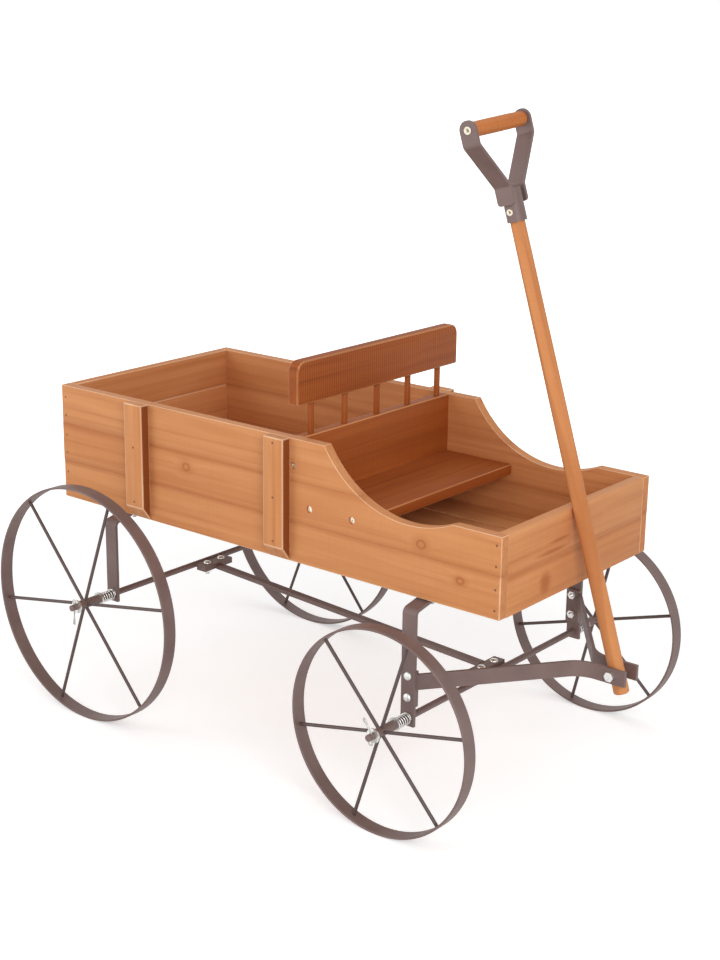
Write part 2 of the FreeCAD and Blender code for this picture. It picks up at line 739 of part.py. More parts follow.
def yoke_arm(side_name, side):
    """A strap on edge: a foot on the front leg, a long slant inward, and a parallel nose at the pole."""
    label = f"yoke_arm_{side_name}"
    body = new_body(f"body_{label}")
    nose = yoke_end - size.yoke_nose
    outer = size.yoke_gap + size.strap_thick
    corners = [
        (front_axle_x - size.strap_width / 2, side * leg_inner),
        (front_axle_x + size.strap_width / 2 + size.foot_past_leg, side * leg_inner),
        (nose, side * outer),
        (yoke_end, side * outer),
    ]
    if side > 0:
        corners = corners[::-1]
    radii = [size.strap_bend, size.yoke_curve]
    sketch, spots, far = strap_outline(body, "XY_Plane", corners, size.strap_thick)
    pad(body, sketch, size.strap_width)
    bend_strap(body, "xy", spots, far, radii[::-1] if side > 0 else radii, size.strap_thick)
    put(body, 0, 0, pivot_z - size.strap_width / 2)
    face = [side * leg_inner, side * (leg_inner - size.strap_thick)]
    face.sort(key=lambda edge: edge.value)
    foot = block(f"foot_{label}", front_axle_x - size.strap_width / 2, front_axle_x + size.strap_width / 2,
                 face[0], face[1], pivot_z - size.foot_below, pivot_z + size.foot_above)
    whole = fuse(f"whole_{label}", [body, foot])
    holes = [cross_hole(f"{label}_pivot_hole", size.pivot_radius + size.fixed_clearance, pivot_x, pivot_z)]
    for number, height in enumerate(leg_bolt_heights()):
        holes.append(cross_hole(f"{label}_leg_hole_{number}", size.bolt_radius + size.fixed_clearance,
                                front_axle_x, height))
    part(cut(label, whole, holes), label)


def pivot_bolt():
    """Hex bolt from the right through both yoke arms and the pole, with its nut on the left."""
    outer = size.yoke_gap + size.strap_thick
    head = hexagon("pivot_head", size.pivot_head_radius, size.pivot_head_height,
                   pivot_x, -outer, pivot_z, turns["-y"])
    shank = cylinder("pivot_shank", size.pivot_radius,
                     2 * outer + size.pivot_nut_height + size.bolt_past_nut,
                     pivot_x, -outer, pivot_z, turns["y"])
    part(fuse("pivot_bolt", [head, shank]), "pivot_bolt")
    raw = hexagon("raw_pivot_nut", size.pivot_head_radius, size.pivot_nut_height,
                  pivot_x, outer, pivot_z, turns["y"])
    bore = cylinder("pivot_nut_bore", size.pivot_radius + size.fixed_clearance,
                    size.pivot_nut_height + 2 * overcut, pivot_x, outer - overcut, pivot_z, turns["y"])
    part(cut("pivot_nut", raw, [bore]), "pivot_nut")


# ---- small bolts and nuts

def round_bolt(name, length, x, y, z, way, back):
    """A round-headed bolt whose head sits on the face at the given place."""
    head = cone(f"{name}_head", size.bolt_head_radius, size.bolt_head_top, size.bolt_head_height,
                x, y, z, turns[back])
    shank = cylinder(f"{name}_shank", size.bolt_radius, length, x, y, z, turns[way])
    return fuse(name, [head, shank])


def small_nut(name, x, y, z, way):
    """A hex nut that starts on the face at the given place."""
    raw = hexagon(f"raw_{name}", size.nut_radius, size.nut_height, x, y, z, turns[way])
    bore = cylinder(f"{name}_bore", size.bolt_radius + size.fixed_clearance, size.nut_height,
                    x, y, z, turns[way])
    return cut(name, raw, [bore])


def small_bolts():
    """Bolts of the hangers, the front legs and the lugs, and their nuts."""
    nuts = []
    ends = size.nut_height + size.bolt_past_nut
    bolts = []
    for number, (x, y) in enumerate(hanger_bolt_spots()):
        length = size.floor_thick + size.strap_thick + ends
        bolts.append(round_bolt(f"hanger_bolt_{number}", length, x, y, floor_top, "-z", "z"))
        nuts.append(small_nut(f"hanger_nut_{number}", x, y, size.box_bottom - size.strap_thick, "-z"))
    part(group("hanger_bolts", bolts), "hanger_bolts")
    bolts = []
    for side_name, side in sides:
        for number, height in enumerate(leg_bolt_heights()):
            bolts.append(round_bolt(f"leg_bolt_{side_name}_{number}", 2 * size.strap_thick + ends,
                                    front_axle_x, side * leg_outer, height, inward[side], outward[side]))
            nuts.append(small_nut(f"leg_nut_{side_name}_{number}", front_axle_x,
                                  side * (leg_inner - size.strap_thick), height, inward[side]))
    part(group("leg_bolts", bolts), "leg_bolts")
    bolts = []
    for number, (x, y, top) in enumerate(reach_bolt_spots()):
        bolts.append(round_bolt(f"reach_bolt_{number}", 2 * size.lug_thick + ends, x, y, top, "-z", "z"))
        nuts.append(small_nut(f"reach_nut_{number}", x, y, top - 2 * size.lug_thick, "-z"))
    part(group("reach_bolts", bolts), "reach_bolts")
    part(group("small_nuts", nuts), "small_nuts")


# ---- wheels and what holds them on

wheel_places = [
    ("rear_right", -1, rear_axle_x, size.rear_wheel_radius, size.spokes_rear_right),
    ("rear_left", 1, rear_axle_x, size.rear_wheel_radius, size.spokes_rear_left),
    ("front_right", -1, front_axle_x, size.front_wheel_radius, size.spokes_front_right),
    ("front_left", 1, front_axle_x, size.front_wheel_radius, size.spokes_front_left),
]


def wheel(name, side, x, radius, first_angle):
    """Iron band, six rod spokes welded inside it, and a hub tube."""
    body = new_body(f"{name}_band")
    half = size.band_width / 2
    inside = radius - size.band_thick
    edge = size.band_edge
    sketch = polygon(body, "YZ_Plane", [
        (-half, inside + edge), (-half + edge, inside), (half - edge, inside), (half, inside + edge),
        (half, radius - edge), (half - edge, radius), (-half + edge, radius), (-half, radius - edge),
    ])
    turned = body.newObject("PartDesign::Revolution", f"{body.Name}_turned")
    turned.Profile = sketch
    turned.ReferenceAxis = (sketch, ["H_Axis"])
    turned.Angle = 360
    put(body, x, side * band_middle, radius)
    part(body, f"{name}_band")
    rods = []
    for number in range(spoke_count):
        angle = first_angle.value + 360 / spoke_count * number
        turn = Rotation(Vector(0, 1, 0), 90 - angle)
        rods.append(cylinder(f"{name}_rod_{number}", size.spoke_radius, radius,
                             x, side * band_middle, radius, turn))
    low_y = side * band_middle - half
    disc = cylinder(f"{name}_disc", inside, size.band_width, x, low_y, radius, turns["y"])
    core = cylinder(f"{name}_core", size.hub_radius, size.band_width + 2 * overcut,
                    x, low_y - overcut, radius, turns["y"])
    room = cut(f"{name}_spoke_room", disc, [core])
    spokes = []
    for rod in rods:
        spoke = doc.addObject("Part::Common", f"{rod.Name}_trimmed")
        spoke.Base = rod
        spoke.Tool = room
        spokes.append(spoke)
    part(group(f"{name}_spokes", spokes), f"{name}_spokes")
    start = hub_start if side > 0 else -hub_end
    outer = cylinder(f"{name}_hub_outside", size.hub_radius, size.hub_length, x, start, radius, turns["y"])
    bore = cylinder(f"{name}_hub_bore", size.axle_radius + size.running_clearance,
                    size.hub_length + 2 * overcut, x, start - overcut, radius, turns["y"])
    part(cut(f"{name}_hub", outer, [bore]), f"{name}_hub")


def washers():
    """A washer at each end of each hub."""
    rings = []
    for name, side, x, z, _ in wheel_places:
        for place, start in (("inner", inner_washer), ("outer", outer_washer)):
            low_y = start if side > 0 else -start - size.washer_thick
            disc = cylinder(f"{name}_{place}_disc", size.washer_radius, size.washer_thick,
                            x, low_y, z, turns["y"])
            bore = cylinder(f"{name}_{place}_bore", size.axle_radius + size.fixed_clearance,
                            size.washer_thick + 2 * overcut, x, low_y - overcut, z, turns["y"])
            rings.append(cut(f"{name}_{place}_washer", disc, [bore]))
    part(group("axle_washers", rings), "axle_washers")


def cotters():
    """A straight pin through the axle with a round eye above and two short spread legs below."""
    pins = []
    spread = 25
    for name, side, x, z, _ in wheel_places:
        y = side * (washer_outside + size.cotter_past_washer)
        top = size.axle_radius + size.cotter_radius
        shank = cylinder(f"{name}_cotter_shank", size.cotter_radius, size.cotter_leg + top,
                         x, y, z - size.cotter_leg, turns["z"])
        eye = doc.addObject("Part::Torus", f"{name}_cotter_eye")
        bind(eye, "Radius1", size.cotter_eye_radius)
        bind(eye, "Radius2", size.cotter_radius)
        put(eye, x, y, z + top + size.cotter_eye_radius, turns["y"])
        pieces = [shank, eye]
        for way in (-1, 1):
            turn = Rotation(Vector(0, 1, 0), 180 + spread * way)
            pieces.append(cylinder(f"{name}_cotter_leg_{way + 1}", size.cotter_radius, size.cotter_leg / 2,
                                   x, y, z - size.cotter_leg + size.cotter_radius, turn))
        pins.append(fuse(f"{name}_cotter", pieces))
    part(group("cotter_pins", pins), "cotter_pins")


# ---- coil springs, each one unbroken wire

def arc_between(start, corner, end):
    """The arc that leaves start and reaches end along the two lines through the corner."""
    middle = (start + end) / 2
    half_chord = (end - start).Length / 2
    rise = (corner - middle).Length
    half_turn = math.atan2(rise, half_chord)
    share = math.tan(half_turn / 2) / math.tan(half_turn)
    return Part.Arc(start, middle + (corner - middle) * share, end)


def biarc(start, way, end, end_way):
    """Two arcs that join two points and leave and reach them in the given directions."""
    chord = end - start
    both = way + end_way
    slack = 2 * (1 - way.dot(end_way))
    reach = (-chord.dot(both) + math.sqrt(chord.dot(both) ** 2 + slack * chord.dot(chord))) / slack
    first_corner = start + way * reach
    second_corner = end - end_way * reach
    joint = (first_corner + second_corner) / 2
    return [arc_between(start, first_corner, joint), arc_between(joint, second_corner, end)]


def spring_path():
    """Straight end, lead-in, even turns, lead-out and straight end, along +Y from the leg."""
    coil = size.spring_radius.value
    straight = size.spring_wire.value
    lead = size.spring_lead.value
    length = size.spring_length.value
    lead_angle = math.radians(60)
    rise = length - 2 * (straight + lead)
    pitch = rise / spring_turns

    def on_coil(turned, along):
        angle = lead_angle + turned
        return Vector(coil * math.cos(angle), along, coil * math.sin(angle))

    def way_at(turned):
        angle = lead_angle + turned
        way = Vector(-coil * math.sin(angle), pitch / (2 * math.pi), coil * math.cos(angle))
        return way.normalize()

    last = 2 * math.pi * spring_turns
    first_in = Vector(coil, straight, 0)
    exit_angle = last + 2 * lead_angle
    first_out = Vector(coil * math.cos(exit_angle), length - straight, coil * math.sin(exit_angle))
    axial = Vector(0, 1, 0)
    arcs = biarc(first_in, axial, on_coil(0, straight + lead), way_at(0))
    for quarter in range(4 * spring_turns):
        start, end = (math.pi / 2 * number for number in (quarter, quarter + 1))
        start_y, end_y = (straight + lead + rise * turned / last for turned in (start, end))
        arcs += biarc(on_coil(start, start_y), way_at(start), on_coil(end, end_y), way_at(end))
    arcs += biarc(on_coil(last, straight + lead + rise), way_at(last), first_out, axial)
    lines_in = [Part.LineSegment(Vector(coil, 0, 0), first_in)]
    lines_out = [Part.LineSegment(first_out, Vector(first_out.x, length, first_out.z))]
    return lines_in + arcs + lines_out


def least_gap(path, wire):
    """The least distance between the surfaces of two turns, measured on points of the path."""
    points = []
    for piece in path:
        steps = 6
        span = piece.LastParameter - piece.FirstParameter
        for number in range(steps):
            points.append(piece.value(piece.FirstParameter + span * number / steps))
    walked = [0.0]
    for start, end in zip(points, points[1:]):
        walked.append(walked[-1] + (end - start).Length)
    apart = [
        (second - first).Length
        for i, first in enumerate(points)
        for j, second in enumerate(points)
        if walked[j] - walked[i] > 3 * wire
    ]
    return min(apart) - wire


def springs():
    """One spring between each front or rear leg and its hub."""
    path = spring_path()
    wire = size.spring_wire.value
    circle = Part.Circle(Vector(size.spring_radius.value, 0, 0), Vector(0, 1, 0), wire / 2)
    ring = Part.Wire([circle.toShape()])
    shell = Part.BRepOffsetAPI.MakePipeShell(Part.Wire([piece.toShape() for piece in path]))
    shell.add(ring)
    shell.build()
    shell.makeSolid()
    print("spring: least gap to itself", round(least_gap(path, wire), 3), "mm")
    coils = []
    for name, side, x, z, _ in wheel_places:
        coil = doc.addObject("Part::Feature", f"{name}_spring")
        coil.Shape = shell.shape()
        turn = Rotation() if side > 0 else Rotation(Vector(0, 0, 1), 180)
        put(coil, x, side * leg_outer, z, turn)
        coils.append(coil)
    part(group("hub_springs", coils), "hub_springs")


# ---- pole and handle, drawn upright from the pivot and then leant back onto the front panel

back_reach = pivot_x.value - box_front.value
up_reach = front_top.value - pivot_z.value
touch = size.pole_radius.value + size.rest_gap.value
lean = math.atan2(back_reach, up_reach) - math.asin(touch / math.hypot(back_reach, up_reach))
handle_turn = Rotation(Vector(0, 1, 0), -math.degrees(lean)) * Rotation(Vector(1, 0, 0), size.pole_tilt.value)
handle_place = FreeCAD.Placement(Vector(pivot_x.value, 0, pivot_z.value), handle_turn)
socket_end = size.socket_start + size.socket_length
grip_middle = socket_end + size.grip_height


def handle_part(item, label):
    """A piece of the handle is moved from its upright drawing to where the handle rests."""
    item.Placement = handle_place
    part(item, label)


def pole():
    """A round pole that narrows towards the socket; its pivot hole is square to the yoke."""
    lower = cylinder("pole_lower", size.pole_radius, size.pole_tail + size.taper_start,
                     0, 0, -size.pole_tail, turns["z"])
    middle = cone("pole_middle", size.pole_radius, size.pole_top_radius, size.socket_start - size.taper_start,
                  0, 0, size.taper_start, turns["z"])
    upper = cylinder("pole_upper", size.pole_top_radius, size.socket_length,
                     0, 0, size.socket_start, turns["z"])
    whole = fuse("pole_whole", [lower, middle, upper])
    reach = size.pole_radius.value + overcut
    way = Rotation(Vector(1, 0, 0), -90 - size.pole_tilt.value)
    hole = doc.addObject("Part::Cylinder", "pole_pivot_hole")
    bind(hole, "Radius", size.pivot_radius + size.running_clearance)
    hole.Height = 2 * reach
    hole.Placement = FreeCAD.Placement(way.multVec(Vector(0, 0, -reach)), way)
    pin = cylinder("pole_rivet_hole", size.socket_rivet_radius + size.fixed_clearance,
                   2 * size.socket_radius + 2 * overcut, 0, -size.socket_radius - overcut,
                   size.socket_start + size.socket_rivet_height, turns["y"])
    handle_part(cut("pole", whole, [hole, pin]), "pole")
    outside = cylinder("socket_outside", size.socket_radius, size.socket_length,
                       0, 0, size.socket_start, turns["z"])
    bore = cylinder("socket_bore", size.pole_top_radius + size.fixed_clearance,
                    size.socket_length + 2 * overcut, 0, 0, size.socket_start - overcut, turns["z"])
    handle_part(cut("socket_tube", outside, [bore, pin]), "socket_tube")
    return outside


def handle_arm(side_name, side):
    """A flat arm from the socket tube up and out to one end of the grip."""
    label = f"handle_arm_{side_name}"
    body = new_body(f"body_{label}")
    grip_half = size.grip_length / 2
    top = grip_middle + size.arm_width / 2
    corners = [
        (side * size.socket_radius, socket_end - size.arm_lap),
        (side * size.socket_radius, socket_end + size.arm_thick),
        (side * grip_half, grip_middle - size.arm_straight),
        (side * grip_half, top),
    ]
    if side > 0:
        corners = corners[::-1]
    sketch, spots, far = strap_outline(body, "YZ_Plane", corners, size.arm_thick)
    pad(body, sketch, size.arm_width)
    bend_strap(body, "yz", spots, far, [size.arm_bend] * 2, size.arm_thick)
    corner = size.arm_width / 2 - 0.01
    for height in (top, socket_end - size.arm_lap):
        radius = corner if height is top else size.arm_bend
        round_edges(body, radius, lambda edge: len(edge.Vertexes) == 2
                    and abs(edge.tangentAt(edge.FirstParameter).y) > 0.999
                    and abs(edge.CenterOfMass.z - height.value) < 0.01)
    put(body, -size.arm_width / 2, 0, 0)
    reach = grip_half + size.arm_thick + overcut
    hole = cylinder(f"{label}_hole", size.rivet_radius + size.fixed_clearance, 2 * reach,
                    0, -reach, grip_middle, turns["y"])
    handle_part(cut(label, body, [hole]), label)


def grip_and_rivets(tube_outside):
    """A wooden grip, a little fuller in its middle, and the rivets of grip and socket."""
    half = size.grip_length / 2
    thin = size.grip_radius - size.grip_crown
    flat = size.grip_length / 4
    body = new_body("body_grip")
    sketch = polygon(body, "YZ_Plane", [
        (-half, 0), (-half, thin), (-flat, size.grip_radius),
        (flat, size.grip_radius), (half, thin), (half, 0),
    ])
    turned = body.newObject("PartDesign::Revolution", "grip_turned")
    turned.Profile = sketch
    turned.ReferenceAxis = (sketch, ["H_Axis"])
    turned.Angle = 360
    put(body, 0, 0, grip_middle)
    bores = []
    rivets = []
    for side_name, side in sides:
        bores.append(cylinder(f"grip_bore_{side_name}", size.rivet_radius + size.fixed_clearance,
                              size.rivet_depth + size.fixed_clearance, 0, side * half, grip_middle,
                              turns[inward[side]]))
        face = half + size.arm_thick
        barrel = cylinder(f"rivet_barrel_{side_name}", size.rivet_radius, size.arm_thick + size.rivet_depth,
                          0, side * face, grip_middle, turns[inward[side]])
        flange = cylinder(f"rivet_flange_{side_name}", size.rivet_flange, size.rivet_flange_thick,
                          0, side * face, grip_middle, turns[outward[side]])
        solid = fuse(f"rivet_solid_{side_name}", [barrel, flange])
        hollow = cylinder(f"rivet_bore_{side_name}", size.rivet_bore,
                          size.arm_thick + size.rivet_depth + size.rivet_flange_thick + 2 * overcut,
                          0, side * (face + size.rivet_flange_thick + overcut), grip_middle,
                          turns[inward[side]])
        rivets.append(cut(f"rivet_{side_name}", solid, [hollow]))
    handle_part(cut("grip", body, bores), "grip")
    height = size.socket_start + size.socket_rivet_height
    shank = cylinder("socket_rivet_shank", size.socket_rivet_radius, 2 * size.socket_radius,
                     0, -size.socket_radius, height, turns["y"])
    pieces = [shank]
    for side_name, side in sides:
        head = cone(f"socket_rivet_cone_{side_name}", size.socket_rivet_head, size.socket_rivet_radius,
                    2 * size.socket_rivet_radius, 0, side * (size.socket_radius - size.socket_rivet_radius),
                    height, turns[outward[side]])
        pieces.append(cut(f"socket_rivet_head_{side_name}", head, [tube_outside]))
    rivets.append(fuse("socket_rivet", pieces))
    handle_part(group("handle_rivets", rivets), "handle_rivets")


# ---- the whole cart

side_planks()
end_planks()
floor_boards()
divider_and_seat()
battens()
seat_back()
wood_fasteners()
hanger("rear_hanger", rear_axle_x, size.rear_wheel_radius, [])
hanger("front_hanger", front_axle_x, size.front_wheel_radius, leg_bolt_heights())
axle("rear_axle", rear_axle_x, size.rear_wheel_radius)
axle("front_axle", front_axle_x, size.front_wheel_radius)
lugs_and_reach()
for side_name, side in sides:
    yoke_arm(side_name, side)
pivot_bolt()
small_bolts()
for place in wheel_places:
    wheel(*place)
washers()
cotters()
springs()
tube_outside = pole()
for side_name, side in sides:
    handle_arm(side_name, side)
grip_and_rivets(tube_outside)

doc.recompute()
for item in doc.Objects:
    if "Invalid" in item.State or "Error" in item.State:
        raise ValueError(f"{item.Label} could not be worked out")
for item in parts:
    if item.Shape.isNull() or not item.Shape.isValid() or not item.Shape.Solids:
        raise ValueError(f"{item.Label} has no sound solid")
for item in parts:
    item.Shape.exportStep(f"parts/{item.Label}.step")
    print(item.Label, len(item.Shape.Solids), round(item.Shape.Volume, 1))
print(len(parts), "nodes")
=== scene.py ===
import json
import math
import random
import bmesh
import bpy
from mathutils import Matrix, Vector


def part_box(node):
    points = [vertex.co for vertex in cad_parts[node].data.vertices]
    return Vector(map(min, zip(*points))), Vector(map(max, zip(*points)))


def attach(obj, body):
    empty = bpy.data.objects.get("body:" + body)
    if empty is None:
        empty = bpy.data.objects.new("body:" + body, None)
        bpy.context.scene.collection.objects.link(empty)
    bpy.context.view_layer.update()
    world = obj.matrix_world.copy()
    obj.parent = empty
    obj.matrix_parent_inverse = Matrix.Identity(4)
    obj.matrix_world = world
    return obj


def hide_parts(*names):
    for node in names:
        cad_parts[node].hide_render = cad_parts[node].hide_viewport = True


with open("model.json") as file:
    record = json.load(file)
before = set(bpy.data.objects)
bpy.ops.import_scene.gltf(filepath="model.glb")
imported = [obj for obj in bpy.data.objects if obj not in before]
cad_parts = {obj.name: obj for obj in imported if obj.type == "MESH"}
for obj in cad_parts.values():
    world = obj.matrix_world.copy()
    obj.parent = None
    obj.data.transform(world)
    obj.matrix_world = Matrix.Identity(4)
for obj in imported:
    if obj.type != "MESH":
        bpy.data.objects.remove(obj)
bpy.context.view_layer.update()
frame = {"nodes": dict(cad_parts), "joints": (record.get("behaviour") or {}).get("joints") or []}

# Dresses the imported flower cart: planed and stained boards, brown powder-coated iron, zinc hardware.
# Metres. +X is the way the cart is pulled, -Y its right, +Z up.

random.seed(7)
print("frame loaded")


# places read from the frame

def low(node):
    return Vector(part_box(node)[0])


def high(node):
    return Vector(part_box(node)[1])


def middle(node):
    return (low(node) + high(node)) / 2


axes = {"x": Vector((1, 0, 0)), "y": Vector((0, 1, 0)), "z": Vector((0, 0, 1))}
sides = {"right": -1, "left": 1}
corners = {
    "rear_right": (-1, middle("rear_axle")), "rear_left": (1, middle("rear_axle")),
    "front_right": (-1, middle("front_axle")), "front_left": (1, middle("front_axle")),
}
joints = {joint["name"]: joint for joint in frame["joints"]}
pivot = Vector(joints["handle_swing"]["pos_m"])
poleAxis = (middle("socket_tube") - pivot).normalized()
gripAxis = (axes["y"] - poleAxis * poleAxis.y).normalized()
foreAxis = gripAxis.cross(poleAxis)
# the handle's own frame has the pivot at its origin and Z up the pole
handleFrame = Matrix.Translation(pivot) @ Matrix((foreAxis, gripAxis, poleAxis)).transposed().to_4x4()


# shader expressions

class Wire:
    # one output socket of a node, on which sums can be written

    def __init__(self, paint, socket):
        self.paint = paint
        self.socket = socket

    def calc(self, operation, *others):
        values = dict(enumerate((self,) + others))
        return self.paint.node("Math", {"operation": operation}, values)

    def __add__(self, other):
        return self.calc("ADD", other)

    def __sub__(self, other):
        return self.calc("SUBTRACT", other)

    def __mul__(self, other):
        return self.calc("MULTIPLY", other)

    def __truediv__(self, other):
        return self.calc("DIVIDE", other)

    def __pow__(self, other):
        return self.calc("POWER", other)

    def __rsub__(self, other):
        return self.paint.node("Math", {"operation": "SUBTRACT"}, {0: other, 1: self})

    __radd__ = __add__
    __rmul__ = __mul__

    def smooth(self, start, end):
        settings = {"interpolation_type": "SMOOTHSTEP"}
        return self.paint.node("MapRange", settings, {"Value": self, "From Min": start, "From Max": end})


class Paint:
    # the nodes of a material, or of the world, and the means to add to them

    def __init__(self, owner, shaderName="Principled BSDF"):
        owner.use_nodes = True
        self.owner = owner
        self.tree = owner.node_tree
        self.shader = self.tree.nodes[shaderName]

    def node(self, kind, settings=None, values=None, output=0):
        made = self.tree.nodes.new("ShaderNode" + kind)
        for name, value in (settings or {}).items():
            setattr(made, name, value)
        for name, value in (values or {}).items():
            self.feed(made.inputs[name], value)
        return Wire(self, made.outputs[output])

    def feed(self, socket, value):
        if isinstance(value, Wire):
            self.tree.links.new(value.socket, socket)
        else:
            socket.default_value = value

    def set(self, **values):
        for name, value in values.items():
            self.feed(self.shader.inputs[name.replace("_", " ")], value)

    def mix(self, factor, first, second):
        first, second = [shade if isinstance(shade, Wire) else (*shade, 1) for shade in (first, second)]
        settings = {"data_type": "RGBA", "clamp_factor": True}
        return self.node("Mix", settings, {0: factor, 6: first, 7: second}, 2)

    def place(self):
        return self.node("TexCoord", output="Object")

    def normal(self):
        return self.node("NewGeometry", output="Normal")

    def dot(self, first, second):
        return self.node("VectorMath", {"operation": "DOT_PRODUCT"}, {0: first, 1: second}, "Value")

    def vector(self, x, y, z):
        return self.node("CombineXYZ", None, {0: x, 1: y, 2: z})

    def noise(self, vector, scale, detail=2, rough=0.5):
        values = {"Vector": vector, "Scale": scale, "Detail": detail, "Roughness": rough}
        return self.node("TexNoise", None, values)

    def edges(self, reach):
        # near 1 on worn corners, 0 on flat faces
        soft = self.node("Bevel", {"samples": 6}, {"Radius": reach})
        return (1 - self.dot(soft, self.normal())).smooth(0.004, 0.12)

    def bump(self, height, strength, distance):
        return self.node("Bump", None, {"Height": height, "Strength": strength, "Distance": distance})

    def seen(self):
        # 1 for what the camera and shiny metal see, 0 for the light that falls on the cart
        camera, glossy = [self.node("LightPath", output=f"Is {kind} Ray") for kind in ("Camera", "Glossy")]
        return camera.calc("MAXIMUM", glossy)


# wood: stains, the size of each mark, and how strongly it shows

stain = {
    "pale": (0.70, 0.320, 0.132),
    "plank": (0.58, 0.230, 0.082),
    "late": (0.42, 0.130, 0.038),
    "edge": (0.92, 0.64, 0.43),
    "knot": (0.40, 0.115, 0.032),
    "side": (0.21, 0.050, 0.010),
    "ringsPerMetre": 95,
    "ringDepth": 0.26,
}
redStain = dict(stain, pale=(0.43, 0.118, 0.024), plank=(0.33, 0.078, 0.013), late=(0.17, 0.033, 0.006),
                edge=(0.70, 0.33, 0.14), knot=(0.12, 0.03, 0.01))
poleStain = dict(stain, pale=(0.70, 0.300, 0.115), plank=(0.55, 0.200, 0.064), late=(0.34, 0.095, 0.024),
                 edge=(0.78, 0.42, 0.21), ringDepth=0.45)
gripStain = dict(stain, pale=(0.66, 0.245, 0.070), plank=(0.53, 0.165, 0.040), late=(0.36, 0.090, 0.020),
                 edge=(0.74, 0.36, 0.14))

# to a metre along the grain, to a metre across it, detail, roughness
woodNoise = {
    "bend": (2.2, 14, 3, 0.5),
    "streak": (2.6, 170, 4, 0.55),
    "fibre": (16, 900, 3, 0.6),
    "saw": (620, 14, 2, 0.5),
    "cloud": (6, 30, 3, 0.5),
}
woodMark = {
    "bend": 0.045,
    "streak": 0.46,
    "paleStreak": 0.30,
    "fibre": 0.16,
    "saw": 0.30,
    "seam": 0.42,
    "patch": 0.80,
    "darkSide": 0.96,
    "endGrain": 0.15,
    "rib": 0.42,
}
seamShade = {"start": 0.0002, "end": 0.0055}
knotShape = {"squeeze": 0.8, "rim": 0.0017, "rimDepth": 0.45, "coreDepth": 0.35, "push": 1.2}


class Grain:
    # places in a board, measured along its grain, across it and through it

    def __init__(self, paint, along, across):
        place = paint.place()
        self.paint = paint
        self.shift = [random.uniform(-2, 2) for _ in range(3)]
        self.heart = (random.uniform(-0.05, 0.05), random.uniform(0.03, 0.09))
        self.along = paint.dot(place, tuple(along))
        self.across = paint.dot(place, tuple(across))
        self.through = paint.dot(place, tuple(along.cross(across)))

    def noise(self, kind):
        # the clouds take the shifts in reverse, so that they lie apart from the other marks
        perAlong, perAcross, detail, rough = woodNoise[kind]
        first, second, third = reversed(self.shift) if kind == "cloud" else self.shift
        lane = self.paint.vector((self.along + first) * perAlong, (self.across + second) * perAcross,
                                 (self.through + third) * perAcross)
        return self.paint.noise(lane, 1.0, detail, rough)

    def rings(self, bend):
        # distance from the middle of the tree, which lies beside the board
        across = self.across - self.shift[1] * 0.01 + self.heart[0]
        through = self.through + self.heart[1]
        return (across * across + through * through).calc("SQRT") + bend


def knotMarks(wood, knots, bend):
    # a dark rim round each knot, past which the grain bends
    mask = None
    for alongKnot, acrossKnot, size in knots:
        along = (wood.along - alongKnot) * knotShape["squeeze"]
        across = wood.across - acrossKnot
        far = (along * along + across * across).calc("SQRT")
        rim = (far - size * 0.8).calc("ABSOLUTE")
        core = (1 - far.smooth(size * 0.6, size * 2.8)) * knotShape["coreDepth"]
        near = (1 - rim.smooth(0.0001, knotShape["rim"])) * knotShape["rimDepth"] + core
        bend = bend + (1 - far.smooth(size * 0.6, size * 5)) * size * knotShape["push"]
        mask = near if mask is None else mask.calc("MAXIMUM", near)
    return mask, bend


